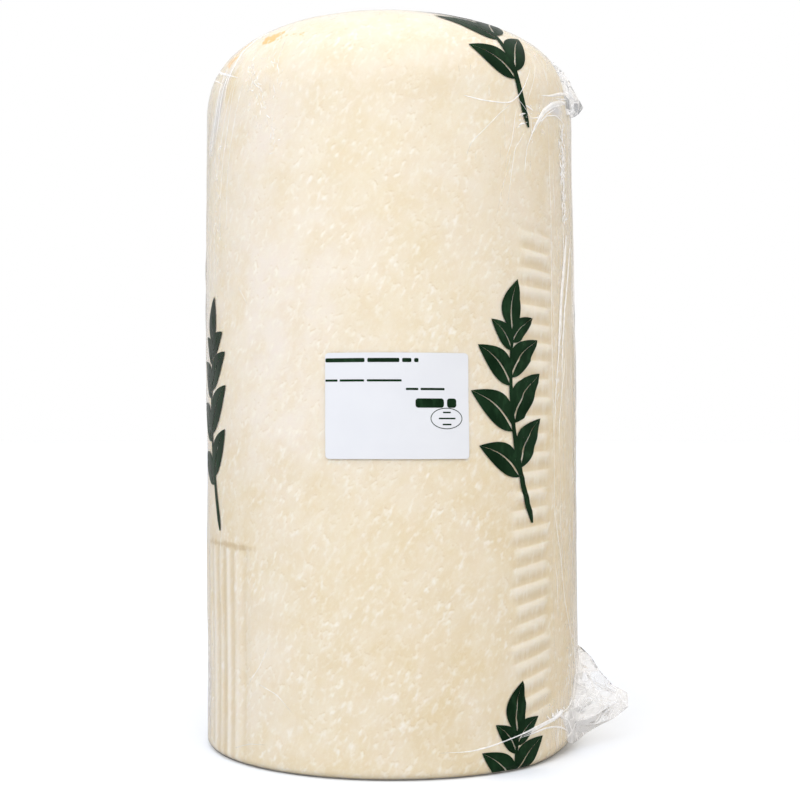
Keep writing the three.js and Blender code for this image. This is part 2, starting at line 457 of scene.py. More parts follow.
def stripe_zone(turn, z):
    """1 on the flutes, which end under a small ledge."""
    step = ledge_height(turn)
    ledge = 1 - smooth(z, step - 1.2 * MM, step + 1.2 * MM)
    return ledge * smooth(turn, -100, -84) * (1 - smooth(turn, -47.5, -44.5))


def stripes(turn, z):
    """Upright flutes under a small ledge."""
    sunk = STRIPE_DEPTH * (stripe_rise(turn) - 0.5) - STRIPE_SINK
    return sunk * stripe_zone(turn, z) * smooth(z, 0, 8 * MM)


# %% Press them into the skin
LUMPS = ((30 * MM, 0.28 * MM), (9 * MM, 0.1 * MM))  # size and height of the soft unevenness


def press(piece):
    points = read_points(piece)
    turn, z = turns_of(points)
    height = ribs(turn, z) + stripes(turn, z)
    for size, amount in LUMPS:
        height += amount * cloud(points, size, seed=size / MM) * smooth(z, 1 * MM, 12 * MM)
    swell(piece, height)


press(skin)
print(f"ribs every {RIB_PITCH / MM:.0f} mm from {RIB_LOW / MM:.0f} to {RIB_HIGH / MM:.0f} mm up")

# %% [markdown]
# ## The film
#
# The film lies on the cheese like a second skin. Where the bag is too wide for its contents, the
# spare film stands up in long pleats, mostly near the ears, at the left edge and at the back, and
# wrinkles between them. How loose the film is at each point is kept as an attribute, so that its
# material can turn whiter and more creased there.

# %% Where the film is loose
PLEATS = (  # turn, low end, high end, width, height, in degrees and millimetres
    (63, 96, 214, 1.5, 0.25),
    (74, 40, 226, 1.8, 0.4),
    (90, 50, 240, 2.0, 0.6),
    (-80, 130, 236, 1.8, 0.5),
    (-97, 60, 225, 2.4, 0.8),
    (168, 30, 250, 3.4, 0.9),
    (-152, 45, 205, 2.6, 0.6),
    (134, 70, 240, 2.6, 0.6),
)
WRINKLE_HEIGHT = 0.22 * MM
WRINKLE_DEEPEST = 0.15 * MM
# Where film stands off doubled over a gap, it is milky, and its grey is painted shade of the gap behind it;
# so is the strip on the left shoulder below.
VEILS = (  # turn, height, half sizes and strength of the spots where doubled film looks milky grey
    (60, 252.2, 12, 4.6, 0.95),
    (-78, 160, 9, 90, 0.45),
    (-80, 24, 14, 30, 0.8),
    (86, 150, 9, 130, 0.3),
    (80, 45, 16, 34, 0.4),
    (66, 15, 16, 6, 0.4),
    (160, 40, 24, 30, 0.4),
)
VEILED_BAND = (  # turns and heights along a strip of doubled film on the left shoulder
    (-51, 277), (-55, 270), (-59, 264), (-62.5, 255), (-66, 248), (-71, 240),
)
VEILED_HALF = 6.5  # half its width in millimetres
VEILED_SHARE = 0.7  # how milky this strip of doubled film is at its middle
VEILED_END = (262 * MM, 278 * MM)  # it fades out between these heights
CRUMPLED = (  # the same of the spots where it is crumpled into small white specks
    (-48, 262, 16, 16, 0.5),
    (-40, 246, 12, 16, 0.3),
    (-62, 210, 9, 60, 0.7),
    (-84, 150, 14, 120, 0.8),
    (-78, 30, 14, 30, 1.0),
    (66, 230, 8, 34, 0.9),
    (52, 247, 12, 12, 0.7),
    (78, 262, 16, 16, 1.0),
    (84, 120, 14, 120, 0.6),
    (58, 20, 14, 10, 1.0),
    (70, 40, 12, 26, 0.8),
    (175, 245, 40, 40, 0.7),
    (-150, 30, 40, 30, 0.6),
)


def loose(turn, z):
    """From 0, drawn tight, to 1, slack and wrinkled."""
    right = bump(turn_gap(turn, 86), 42) ** 0.5 * smooth(turn, 52, 60)
    left = 0.7 * bump(turn_gap(turn, -92), 34) * smooth(z, 60 * MM, 190 * MM)
    back = 0.25 * bump(turn_gap(turn, 175), 60)
    corner = bump(turn_gap(turn, 74), 34) * (1 - smooth(z, 14 * MM, 30 * MM))
    shoulder = bump(turn_gap(turn, 80), 34) * smooth(z, 235 * MM, 255 * MM)
    shoulder += 0.6 * bump(turn_gap(turn, -80), 40) * smooth(z, 235 * MM, 255 * MM)
    crown = 0.3 * smooth(z, 276 * MM, 290 * MM)
    return np.clip(np.maximum.reduce([right, left, back, corner, shoulder, crown]), 0, 1)


def pleats(turn, z):
    height = np.zeros_like(turn)
    for middle, low, high, width, proud in PLEATS:
        wander = 1.5 * np.sin(z / (17 * MM) + middle)
        across = RADIUS * np.radians(turn_gap(turn, middle + wander))
        along = np.sin(np.pi * np.clip((z - low * MM) / ((high - low) * MM), 0, 1)) ** 0.6
        height = np.maximum(height, proud * MM * along * bump(across, width * MM))
    return height


# %% Make the film
def film_on(skin_piece):
    piece = copy_of(skin_piece, "film")
    points = read_points(piece)
    turn, z = turns_of(points)
    slack = loose(turn, z)
    tall = cloud(points, 3.2 * MM, seed=4, squeeze=(1, 1, 0.12))
    broad = cloud(points, 7 * MM, seed=9, squeeze=(1, 1, 0.2))
    wrinkles = 0.6 * (1 - 2 * np.abs(tall)) + 0.6 * (1 - 2 * np.abs(broad))
    lift = WRINKLE_HEIGHT * slack * wrinkles * smooth(z, 1 * MM, 8 * MM)
    swell(piece, pleats(turn, z) + np.maximum(lift, -WRINKLE_DEEPEST))
    mark(piece, "slack", slack)
    doubled = band(turn, z, VEILED_BAND, VEILED_HALF) * smooth(-z, -VEILED_END[1], -VEILED_END[0])
    veiled = np.maximum(spots(turn, z, VEILS), doubled * VEILED_SHARE)
    mark(piece, "veiled", veiled)
    mark(piece, "crumpled", spots(turn, z, CRUMPLED))
    shaded(piece)
    return piece


film = film_on(skin)
fixed_to_root(film, "film", "sealed_cheese")

# %% [markdown]
# ## The cheese
#
# The cheese is the skin moved in by the film's thickness. Under slack film it has shrunk away a
# little further: below the left shoulder, beside the ears and at the foot. These hollows let the
# film stand clear, so its edge shows as a thin, clear band against the light. The cheese gets a
# UV map of its unrolled side, along which the painted light and shade of the ribs is laid.

# %% Make the cheese
FILM_GAP = 0.35 * MM
HOLLOWS = (  # turn, height, half width in degrees, half height and depth, in millimetres
    (-84, 244, 22, 34, 1.8),
    (-78, 268, 20, 12, 1.0),
    (88, 262, 22, 14, 1.6),
    (90, 228, 22, 40, 1.3),
    (84, 130, 26, 130, 0.7),
    (90, 60, 24, 40, 3.2),
    (88, 20, 27, 12, 3.8),
    (175, 150, 50, 150, 0.5),
)


def ledge_shade(turn, z):
    """1 along the thin ledge over the flutes, which is painted dark as the shade under its step."""
    strength = smooth(turn, -80, -70) * (1 - 0.4 * smooth(turn, -49, -46)) * (1 - smooth(turn, -46, -37))
    return bump(z - ledge_height(turn), 2.4 * MM) * strength


# Painted light: the left side and the dome are painted paler, where more light falls on them.
LIT_PATCHES = (  # turn, height, half sizes and strength of the broad patches where it is paler
    (-34, 162, 36, 80, 1.0),
    (-44, 225, 34, 60, 0.5),
    (0, 300, 180, 34, 0.5),
)
# Partly the cheese's own warmer tone, partly painted shade: on the right side, at the foot and beside the
# left shoulder strip.
WARM_AND_SHADE = (  # the same of the patches where it is warmer
    (50, 80, 46, 100, 0.8),
    (8, 50, 60, 90, 0.6),
    (-50, 80, 46, 60, 0.4),
    (-57, 260, 9, 12, 1.0),
    (0, 2, 180, 9, 0.8),
)
RUBBED = (  # the same of the patches where the shoulder is rubbed to its rind
    (-42, 277.6, 10, 4.6, 1.3),
    (-30, 276.5, 9, 4.0, 0.6),
    (-61, 279.5, 9, 6.0, 1.5),
    (-62, 272.5, 8, 5.0, 1.4),
    (-110, 272, 12, 5.0, 0.9),
    (152, 276, 14, 5.0, 0.9),
)


def unroll(piece):
    """A UV map in metres: the arc round the side, and the height."""
    turn, z = turns_of(read_points(piece))
    corner_points = np.empty(len(piece.data.loops), np.int32)
    piece.data.loops.foreach_get("vertex_index", corner_points)
    starts = np.empty(len(piece.data.polygons), np.int32)
    piece.data.polygons.foreach_get("loop_start", starts)
    counts = np.diff(np.append(starts, len(corner_points)))
    turns = turn[corner_points]
    highest = np.repeat(np.maximum.reduceat(turns, starts), counts)
    turns = np.where(highest - turns > 180, turns + 360, turns)
    uv = np.stack([RADIUS * np.radians(turns), z[corner_points]], axis=1)
    layer = piece.data.uv_layers.new(name="unrolled")
    layer.data.foreach_set("uv", uv.astype(np.float32).ravel())


def cheese_in(skin_piece):
    piece = copy_of(skin_piece, "cheese")
    turn, z = turns_of(read_points(piece))
    hollow = MM * spots(turn, z, HOLLOWS) * smooth(z, 0.5 * MM, 6 * MM)
    swell(piece, -FILM_GAP - hollow)
    # These marks carry painted shade in the furrows and along the ledge, a painted highlight on the flutes'
    # backs, painted light on the left and the dome, and painted shade on the right and at the foot.
    mark(piece, "ribbed", rib_zone(turn, z))
    mark(piece, "furrow_shaded", furrow_shade(turn) * stripe_zone(turn, z))
    mark(piece, "ledge", ledge_shade(turn, z))
    for name, patches in (("rind", RUBBED), ("painted_light", LIT_PATCHES), ("warm_and_shaded", WARM_AND_SHADE)):
        mark(piece, name, spots(turn, z, patches))
    mark(piece, "flute_lit", flute_highlight(turn) * stripe_zone(turn, z))
    unroll(piece)
    shaded(piece)
    return piece


cheese = cheese_in(skin)
fixed_to_root(cheese, "cheese", "sealed_cheese")
bpy.data.objects.remove(skin)

# %% [markdown]
# ## Creases of the film
#
# Where the film is folded on itself, the fold stands up as a thin, whitish ridge. A poly curve
# with a round bevel and a radius at each point makes such a ridge, thick in its middle and fine at
# its ends. Its points are first settled on the film, and the finished ridge is pressed flatter, so
# that it reads as a soft welt and not as a wire. How far each point stands out is kept, and lets
# the ridge fade into the film at its sides. The named creases follow the true bag. Small wrinkles
# between them are drawn at random with a fixed seed, where the film is loose.

# %% A curve of tapered ridges
CREASE_STEP = 1.6 * MM
CREASE_SUNK = 0.3  # share of its radius that a ridge sinks into the film
CREASE_PRESSED = 0.5  # share of its height that is left when it is pressed flatter
CREST_FULL = 0.11 * MM  # a ridge that stands out this far is at its whitest
PATH_SMOOTHINGS = 6  # how often the corners of its path are rounded off
WHITE, CLEAR = 0, 1  # material slots of the ridges


def run_of(z_mm):
    return np.interp(np.asarray(z_mm, float) * MM, RUN_Z, RUN)


def crease_path(stops):
    """Smooth points through stops of turn and run, spaced evenly."""
    stops = np.asarray(stops, float)
    keys = np.arange(len(stops))
    rough = np.linspace(0, keys[-1], 12 * len(stops))
    turn = np.interp(rough, keys, stops[:, 0])
    run = np.interp(rough, keys, stops[:, 1])
    for _ in range(PATH_SMOOTHINGS):
        turn[1:-1] = (turn[:-2] + 2 * turn[1:-1] + turn[2:]) / 4
        run[1:-1] = (run[:-2] + 2 * run[1:-1] + run[2:]) / 4
    gaps = np.hypot(RADIUS * np.radians(np.diff(turn)), np.diff(run))
    length = np.concatenate([[0], np.cumsum(gaps)])
    count = max(4, round(length[-1] / CREASE_STEP))
    even = np.linspace(0, length[-1], count)
    return np.interp(even, length, turn), np.interp(even, length, run)


def nearest_on(target, point):
    """The nearest place on a target's surface, and the normal there."""
    _, place, normal, _ = target.closest_point_on_mesh(Vector(point))
    return np.array(place), np.array(normal)


def add_ridge(curve, stops, radius, kind, blunt=0.5):
    """One ridge through stops of turn and run, with a share of its radius, blunt, at its first end.

    It is full a quarter of its length on, and thins over its second half to a fine tip.
    """
    turn, run = crease_path(stops)
    along = np.linspace(0, 1, len(turn))
    taper = np.minimum(1, np.minimum(blunt + 4 * along, 0.12 + 2.2 * (1 - along)))
    radii = radius * taper
    points = np.empty((len(turn), 3))
    for i, point in enumerate(on_skin(turn, run, 1 * MM)):
        place, normal = nearest_on(film, point)
        points[i] = place - normal * CREASE_SUNK * radii[i]
    spline = curve.splines.new("POLY")
    spline.points.add(len(points) - 1)
    spline.points.foreach_set("co", np.column_stack([points, np.ones(len(points))]).ravel())
    spline.points.foreach_set("radius", radii / MM)
    spline.material_index = kind


def ridge_curve(name):
    """An empty curve whose ridges are round, one millimetre thick for a point radius of 1."""
    select_only(None)
    bpy.ops.curve.primitive_bezier_curve_add(location=(0, 0, 0))
    piece = named(name)
    piece.data.splines.clear()
    piece.data.bevel_depth = 1 * MM
    piece.data.bevel_resolution = 1
    piece.data.use_fill_caps = True
    for kind in ("white", "clear"):
        piece.data.materials.append(bpy.data.materials.new("crease_" + kind))
    return piece


# %% The named creases
CREASES = (  # radius in mm, kind, and stops of turn in degrees and height in mm
    (0.30, WHITE, (
        (22, 250.5), (28, 249.5), (34, 249.5), (37.5, 250.2), (40.5, 253), (43, 257), (46, 263), (49, 269),
    )),
    (0.15, WHITE, ((50.5, 268), (47.5, 260), (45, 254), (44, 248))),
    (0.22, WHITE, ((40.5, 252), (43, 249.5), (45.8, 246), (48, 245.5))),
    (0.95, WHITE, ((70, 257.5), (63, 256.0), (57, 253.6), (52.4, 250), (48.4, 244), (46, 239), (44.4, 235))),
    (0.40, WHITE, ((66, 255.8), (58, 253.0), (53, 249.4), (50, 245.4), (47, 240.4))),
    (0.24, WHITE, ((60, 252.8), (54, 249), (50.8, 245), (48.6, 241))),
    (0.34, WHITE, ((52, 248), (48.5, 246.4), (45.8, 245.8))),
    (0.18, WHITE, ((45.8, 246), (46.3, 240), (46.6, 236))),
    (0.20, WHITE, ((44.4, 236), (43.4, 230), (43, 223))),
    (0.45, WHITE, ((43.8, 250.2), (45.8, 249.6), (47.4, 248.6))),
    (0.42, WHITE, ((40.8, 245.8), (42.4, 246.8), (44, 247.2))),
    (0.36, WHITE, ((40.6, 242), (42, 243), (43.4, 243.6))),
    (0.70, WHITE, ((73, 262), (64, 259.6), (57, 257), (51, 255.6))),
    (0.36, WHITE, ((73, 260), (66, 258), (59, 256.4))),
    (0.26, WHITE, ((50, 245), (54, 248.5), (60, 250), (66, 249), (70, 246))),
    (0.16, WHITE, ((37, 249), (34, 246), (30, 241), (24, 233.5), (22, 227))),
    (0.16, WHITE, ((40, 249), (39, 244), (38, 236), (36, 230), (35, 223))),
    (0.15, WHITE, ((43, 240), (41, 236), (39.2, 233.5), (37.5, 222.8), (36, 210))),
    (0.14, CLEAR, ((38, 232), (35, 221), (31.5, 204))),
    (0.16, WHITE, ((55, 247), (56.4, 200), (56, 158), (56.2, 120), (55.4, 80), (55, 46), (57, 23))),
    (0.24, WHITE, ((56, 95), (60, 77), (62.5, 61), (66, 51), (70, 40), (76, 31), (84, 21))),
    (1.10, WHITE, ((68, 204), (66, 193.5), (63.4, 180), (61.2, 166), (60, 154))),
    (0.66, WHITE, ((72, 200), (69.4, 187), (66.2, 174.5), (63.4, 160), (62, 150))),
    (0.50, WHITE, ((84, 208), (82, 194), (79, 180), (77, 166))),
    (0.30, WHITE, ((63, 170), (60.5, 158), (58, 142), (56, 120))),
    (0.24, WHITE, ((66, 158), (63, 146), (60, 130), (59, 112))),
    (0.16, WHITE, ((66, 246), (64.5, 239), (65.5, 232), (65, 226), (67, 212), (68, 200))),
    (0.20, WHITE, ((74, 250), (73, 226), (75, 190), (73, 150))),
    (0.18, WHITE, ((80, 246), (79, 210), (81, 160), (78, 110), (79, 60))),
    (0.42, WHITE, (
        (-49, 282), (-53, 279.9), (-55.3, 274.5), (-55.3, 269.3), (-56.8, 265.9), (-58.2, 259.7), (-59, 252),
    )),
    (0.26, WHITE, ((-58, 280), (-60, 272), (-62, 265), (-63.5, 257), (-67, 248), (-72, 236))),
    (0.24, WHITE, ((-56, 270), (-60, 261), (-62, 253), (-64.5, 244), (-69, 233))),
    (0.18, WHITE, ((-53, 262), (-57, 252), (-60, 243), (-63, 232), (-65, 219))),
    (0.16, WHITE, ((-51, 266), (-54, 255), (-57, 243), (-60, 231), (-61.5, 216), (-62, 196))),
    (0.14, WHITE, ((-48, 260), (-52, 248), (-55, 236), (-57, 220))),
    (0.60, WHITE, ((-76, 272.5), (-66, 268.5), (-58, 265.5), (-51, 262.6))),
    (0.30, WHITE, ((-74, 268), (-66, 265), (-61, 262.6))),
    (0.14, WHITE, ((-46, 31), (-41, 38), (-37, 47))),
    (0.14, WHITE, ((-41, 32), (-34, 29), (-28, 22))),
    (0.12, WHITE, ((-52, 6), (-45, 9), (-37, 10))),
    (0.12, WHITE, ((-50, 182), (-45, 174))),
    (1.05, WHITE, ((60.5, 18.4), (58.2, 17.6), (55.4, 16.8), (52.6, 16.4))),
    (0.62, WHITE, ((59.5, 17.8), (56.8, 16.9), (51, 16.2), (46, 15.2), (40, 13.8), (34, 12.4))),
    (0.45, WHITE, ((58, 17.0), (54, 16.0), (48, 15.0), (42, 13.4), (37, 12.6))),
    (0.34, WHITE, ((44, 14.8), (36.5, 13.0), (28, 10.8), (22, 9.8), (13, 10))),
    (0.40, WHITE, ((64, 9.6), (60, 11.8), (55, 13.4), (50, 13.9), (46, 13.4), (40, 12.6), (34, 11.8))),
    (0.42, WHITE, ((77, 34), (73.5, 26.5), (70, 21.4), (65.5, 18.8), (60.5, 17.8), (56.5, 16.9))),
    (0.70, WHITE, ((56.8, 17.0), (56.6, 18.6), (55.8, 20.2))),
    (0.55, WHITE, ((55, 16.6), (53.9, 18.0), (52.9, 19.2))),
    (0.75, WHITE, ((58, 17.2), (60, 16.0), (61.6, 14.6))),
    (0.36, WHITE, ((52.6, 16.2), (51.2, 17.6), (50.2, 19))),
)
TRAILS = (  # count, spread, longest and largest radius of small crumples, then stops as above
    (120, 1.6, 4.2, 0.44, ((66, 246), (64.5, 239), (65.5, 232), (65, 224), (67, 210))),
    (24, 1.3, 4.0, 0.24, ((-45, 262), (-40, 253), (-39.2, 248), (-38, 244))),
    (14, 1.2, 5.0, 0.22, ((-36, 268), (-32.8, 257), (-35, 252))),
    (9, 1.0, 3.4, 0.20, ((-36, 241), (-34.8, 236), (-35.5, 232))),
    (26, 3.0, 6.0, 0.15, ((-46, 272), (-42, 264), (-44, 254))),
    (40, 2.2, 6.0, 0.20, ((-62, 250), (-64, 236), (-66, 215), (-66, 196))),
    (36, 1.2, 4.0, 0.22, ((64, 166), (60, 150), (57, 134))),
    (34, 1.0, 2.6, 0.50, ((60, 18), (57, 17.2), (54, 16.4))),
    (14, 1.0, 2.2, 0.26, ((46, 250), (43, 246.8), (41.5, 242))),
    (14, 0.9, 2.0, 0.22, ((50, 246), (48, 242), (46, 238))),
    (16, 1.6, 4.0, 0.30, ((72, 44), (67, 36), (63, 29))),
    (40, 2.5, 3.4, 0.26, ((-76, 52), (-78, 34), (-74, 16))),
    (40, 3.0, 4.0, 0.24, ((170, 268), (178, 250), (172, 230))),
)


def add_named_creases(curve):
    for radius, kind, stops in CREASES:
        add_ridge(curve, [(turn, run_of(z)) for turn, z in stops], radius * MM, kind)


def add_trails(curve, seed):
    """Scatters small crumples of film along lines, mostly lengthwise."""
    draw = np.random.default_rng(seed)
    for count, spread, longest, largest, stops in TRAILS:
        turn, run = crease_path([(turn, run_of(z)) for turn, z in stops])
        heading = math.atan2(run[-1] - run[0], RADIUS * math.radians(turn[-1] - turn[0]))
        for _ in range(count):
            at = draw.integers(0, len(turn))
            aslant = heading + draw.normal(0, 0.7)
            half = longest * draw.uniform(0.3, 1) / 2 * MM
            middle_turn = turn[at] + math.degrees(draw.normal(0, spread) * MM / RADIUS)
            middle_run = run[at] + draw.normal(0, spread) * MM
            turned = math.degrees(half * math.cos(aslant) / RADIUS)
            risen = half * math.sin(aslant)
            ends = [(middle_turn + s * turned, middle_run + s * risen) for s in (-1, 0, 1)]
            add_ridge(curve, ends, largest * draw.uniform(0.4, 1) * MM, WHITE, blunt=0.2)


# %% Wrinkles at random in the loose zones
WRINKLE_ZONES = (  # count, low turn, high turn, low run, high run, longest, largest radius, in mm
    (120, 57, 104, 22, 262, 50, 0.16),
    (22, 50, 86, 240, 285, 12, 0.2),
    (60, -112, -56, 20, 270, 50, 0.15),
    (26, -80, -34, 250, 315, 12, 0.18),
    (34, 110, 250, 20, 275, 40, 0.16),
    (26, -180, 180, 292, 335, 18, 0.16),
    (14, 56, 92, 4, 22, 14, 0.24),
    (12, 20, 46, 222, 262, 10, 0.12),
)


def add_wrinkles(curve, seed):
    draw = np.random.default_rng(seed)
    for count, low_turn, high_turn, low_run, high_run, longest, largest in WRINKLE_ZONES:
        for _ in range(count):
            turn = draw.uniform(low_turn, high_turn)
            run = draw.uniform(low_run, high_run) * MM
            length = longest * draw.uniform(0.25, 1) * MM
            sway = np.cumsum(draw.normal(0, 0.9, 5)) * length / (40 * MM)
            runs = run + length * np.linspace(-0.5, 0.5, 5)
            runs = np.clip(runs, 3 * MM, FULL_RUN - 12 * MM)
            kind = WHITE if draw.random() < 0.6 else CLEAR
            radius = largest * draw.uniform(0.35, 1) * MM
            add_ridge(curve, list(zip(turn + sway, runs)), radius, kind, blunt=0.12)


def press_on(piece, target, share):
    """Presses a piece flatter on a target, and marks how far each point stood out."""
    stood, pressed = [], []
    for point in read_points(piece):
        place, normal = nearest_on(target, point)
        stood.append(float(np.dot(point - place, normal)))
        pressed.append(place + (point - place) * share)
    write_points(piece, pressed)
    mark(piece, "crest", np.clip(np.array(stood) / CREST_FULL, 0, 1))


film_folds = ridge_curve("film_folds")
add_named_creases(film_folds.data)
add_trails(film_folds.data, seed=23)
add_wrinkles(film_folds.data, seed=11)
select_only(film_folds)
bpy.ops.object.convert(target="MESH")
film_folds = bpy.context.object
press_on(film_folds, film, CREASE_PRESSED)
shaded(film_folds)
fixed_to_root(film_folds, "film")

# %% [markdown]
# ## Ears of the bag
#
# At two corners the flattened bag sticks out as a crumpled ear of double film, and its near side
# runs on as a web over the front of the cheese. Each ear starts as a grid that is extruded to a
# slab, so it has a front sheet, a back sheet and a closed rim. It is laid between a root on the
# cheese and an outer edge, kept off the skin, cut into triangles, and subdivided with a fractal
# setting that throws the new points about. Shading that is smooth only across shallow angles
# then gives the soft facets and sharp folds of stiff, crushed film.

# %% Ears
EARS = {  # root: stops of turn and height; edge: stops of turn, reach from the axis and height
    "lower": {
        "root": (
            (93, 37), (86, 31), (80, 26), (74, 21.5), (68, 18.9), (62, 18.2), (57.5, 16.8), (59.5, 14.6),
            (62.5, 12.2), (64.5, 9), (64.5, 6),
        ),
        "edge": (
            (89, 76.8, 38), (88, 79.8, 34.6), (87, 82.6, 33.4), (86.5, 85.4, 27.6), (86, 90.7, 22.4),
            (85.5, 96.0, 19.8), (85, 98.2, 16.8), (84, 95.4, 13.4), (83, 89.0, 9.0), (82, 82.6, 6.6),
            (79, 78.4, 4.4), (76, 77.0, 3.4), (72, 76.4, 3.2), (68, 75.8, 3.6), (65, 75.2, 5.0),
        ),
        "puff": 2.0, "crush": 1.1, "seed": 5,
    },
    "upper": {
        "root": ((80, 277), (76, 272), (73, 266), (70, 260), (72, 254)),
        "edge": (
            (83, 68.2, 278), (84, 70.4, 274.6), (84.5, 72.6, 271.6), (85, 74.6, 268.6), (86, 76.8, 265.2),
            (87, 79.0, 262.4), (87, 80.6, 260.8), (86, 79.2, 258.4), (85, 77.6, 256.6), (81, 76.4, 255),
            (75, 76.0, 253),
        ),
        "puff": 1.5, "crush": 1.2, "seed": 3,
    },
}
EAR_STEPS = (5, 11)
EAR_CUTS, EAR_FRACTAL = 1, 0.12
EAR_FOLD, EAR_STIR = 1.2, 0.5  # height of its slow waves, and spread of its points, in millimetres
EAR_ROOT_SUNK = 1.5 * MM
EAR_CLEAR = 0.5 * MM  # how far the web stays off the skin
EAR_CREASED = 25  # facets that meet at more than this angle keep a sharp edge


def evenly(stops, share):
    """Points at shares of the length of a line through stops."""
    length = np.concatenate([[0], np.cumsum(np.linalg.norm(np.diff(stops, axis=0), axis=1))])
    return np.stack([np.interp(share * length[-1], length, axis) for axis in stops.T], axis=1)


def ear_slab(name):
    """A slab one unit wide, deep and thick, its upper and lower face each a grid."""
    piece = unit_grid(name, *EAR_STEPS)
    edit_all(piece)
    bpy.ops.mesh.extrude_region_move(TRANSFORM_OT_translate={"value": (0, 0, 1)})
    bpy.ops.mesh.select_all(action="SELECT")
    bpy.ops.mesh.normals_make_consistent(inside=False)
    bpy.ops.object.mode_set(mode="OBJECT")
    return piece


def off_skin(points):
    """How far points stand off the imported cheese, sideways."""
    turn, z = turns_of(points)
    reach = np.hypot(points[:, 0] + LEAN * z, points[:, 1])
    return reach - skin_radius(turn, np.clip(z, 0, HEIGHT - 1 * MM))


def kept_off(points, side):
    """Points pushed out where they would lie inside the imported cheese."""
    turn, z = turns_of(points)
    off = off_skin(points)
    pushed = np.maximum(off, EAR_CLEAR * (1 + 0.5 * side))
    return around(turn, np.hypot(points[:, 0] + LEAN * z, points[:, 1]) + pushed - off, z)


def lay_ear(piece, root, edge, puff, crush, seed):
    """Lays the slab between its root on the cheese and its outer edge."""
    draw = np.random.default_rng(seed)
    points = read_points(piece)
    along, out = 0.5 - points[:, 1], np.clip(points[:, 0] + 0.5, 0, 1)
    side = 2 * (points[:, 2] > 0.5) - 1
    turn, z = np.array(root).T * np.array([[1], [MM]])
    root_line = around(turn, skin_radius(turn, z) - EAR_ROOT_SUNK, z)
    turn, reach, z = np.array(edge).T * np.array([[1], [MM], [MM]])
    edge_line = around(turn, reach, z)
    rooted, edged = evenly(root_line, along), evenly(edge_line, along)
    tip = edge_line[np.argmax(reach)]
    facing = np.cross(root_line[-1] - root_line[0], tip - root_line[0])
    facing /= np.linalg.norm(facing)
    inner = np.sin(np.pi * along) * np.sin(np.pi * out) ** 0.5
    gap = 0.25 + puff * inner * (1 - 0.5 * out)
    scatter = draw.normal(0, 1, len(points)) * crush * np.clip(4 * out, 0, 1)
    scatter *= np.minimum(1, 0.25 + 2 * inner)
    fold = EAR_FOLD * np.sin(9 * along + 3 * out) * out * inner
    flat = draw.normal(0, EAR_STIR, (len(points), 3)) * np.minimum(1, 3 * inner)[:, None]
    placed = rooted + (edged - rooted) * out[:, None]
    placed += facing * ((side * gap / 2 + scatter + fold) * MM)[:, None] + flat * MM
    placed[:, 2] = np.maximum(placed[:, 2], 0.4 * MM)
    write_points(piece, np.where((out > 0.02)[:, None], kept_off(placed, side), placed))
    mark(piece, "rim", (out > 0.99) * (1 - 0.7 * smooth(along, 0.25, 0.5)))


def crush_ear(piece, seed):
    """Cuts the slab into triangles and throws the new points about."""
    edit_all(piece)
    bpy.ops.mesh.quads_convert_to_tris(quad_method="LONGEST_DIAGONAL")
    bpy.ops.mesh.subdivide(number_cuts=EAR_CUTS, fractal=EAR_FRACTAL, fractal_along_normal=0.6, seed=seed)
    bpy.ops.object.mode_set(mode="OBJECT")
    mark(piece, "webbed", 1 - smooth(off_skin(read_points(piece)), 1.0 * MM, 3.5 * MM))


def ear_of_film(label, shape):
    piece = ear_slab("ear_" + label)
    lay_ear(piece, *(shape[name] for name in ("root", "edge", "puff", "crush", "seed")))
    crush_ear(piece, shape["seed"])
    shaded(piece, EAR_CREASED)
    return piece


ears = [ear_of_film(label, shape) for label, shape in EARS.items()]
film_ears = joined(ears, "film_ears")
fixed_to_root(film_ears, "film")

# %% [markdown]
# ## Sprigs printed on the film
#
# The bag is printed all over with one motif, a leafy sprig in dark green, in columns that are each
# shifted by half a repeat. The motif is drawn flat first: one leaf in two halves with a fine
# midrib left bare, copied in pairs up a bent stem. Flat sprigs are then laid round the form, and a
# Shrinkwrap modifier settles them on the film, ribs and pleats included.

# %% One flat leaf
LEAF_STEPS = (14, 3)
MIDRIB = 0.045  # bare midrib at the leaf's foot, as a share of its length


def leaf_half(side):
    """One half of a leaf of unit length along +X."""
    piece = unit_grid("leaf_half", *LEAF_STEPS)
    points = read_points(piece)
    along, across = points[:, 0] + 0.5, points[:, 1] + 0.5
    rib = MIDRIB * (1 - along) * 0.5
    rim = np.maximum(LEAF_SLIM * np.sin(np.pi * along**0.8) ** 0.9, rib)
    y = side * (rib + (rim - rib) * across) + 0.1 * np.sin(np.pi * along)
    write_points(piece, np.stack([along, y, np.zeros_like(y)], axis=1))
    if side < 0:
        turn_faces(piece)
    return piece


def leaf(foot, angle, length):
    """A flat leaf in millimetres, from its foot on the stem, at an angle from +X in degrees."""
    piece = joined([leaf_half(1), leaf_half(-1)], "leaf")
    flip = -1 if 90 < angle < 270 else 1
    points = read_points(piece) * np.array([1, flip, 1]) * length
    turned = math.radians(angle)
    x = points[:, 0] * math.cos(turned) - points[:, 1] * math.sin(turned) + foot[0]
    y = points[:, 0] * math.sin(turned) + points[:, 1] * math.cos(turned) + foot[1]
    write_points(piece, np.stack([x, y, points[:, 2]], axis=1))
    if flip < 0:
        turn_faces(piece)
    return piece


# %% A flat sprig
STEM_LOW, STEM_HIGH = -46, 27
STEM_STEPS = (2, 30)
STEM_BOW, STEM_BOW_MIDDLE, STEM_BOW_REACH = 0.0035, 8, 4
PAIRS = ((-25, 22), (-8, 24), (9, 21), (22, 15))  # height on the stem, and length of its leaves
PAIR_SHIFT = 3  # the left leaf of a pair grows this far below the right one
END_LEAF = 20
LEAF_SPREAD = 46  # angle of a leaf to its stem
LEAF_SLIM = 0.24  # half width of a leaf as a share of its length


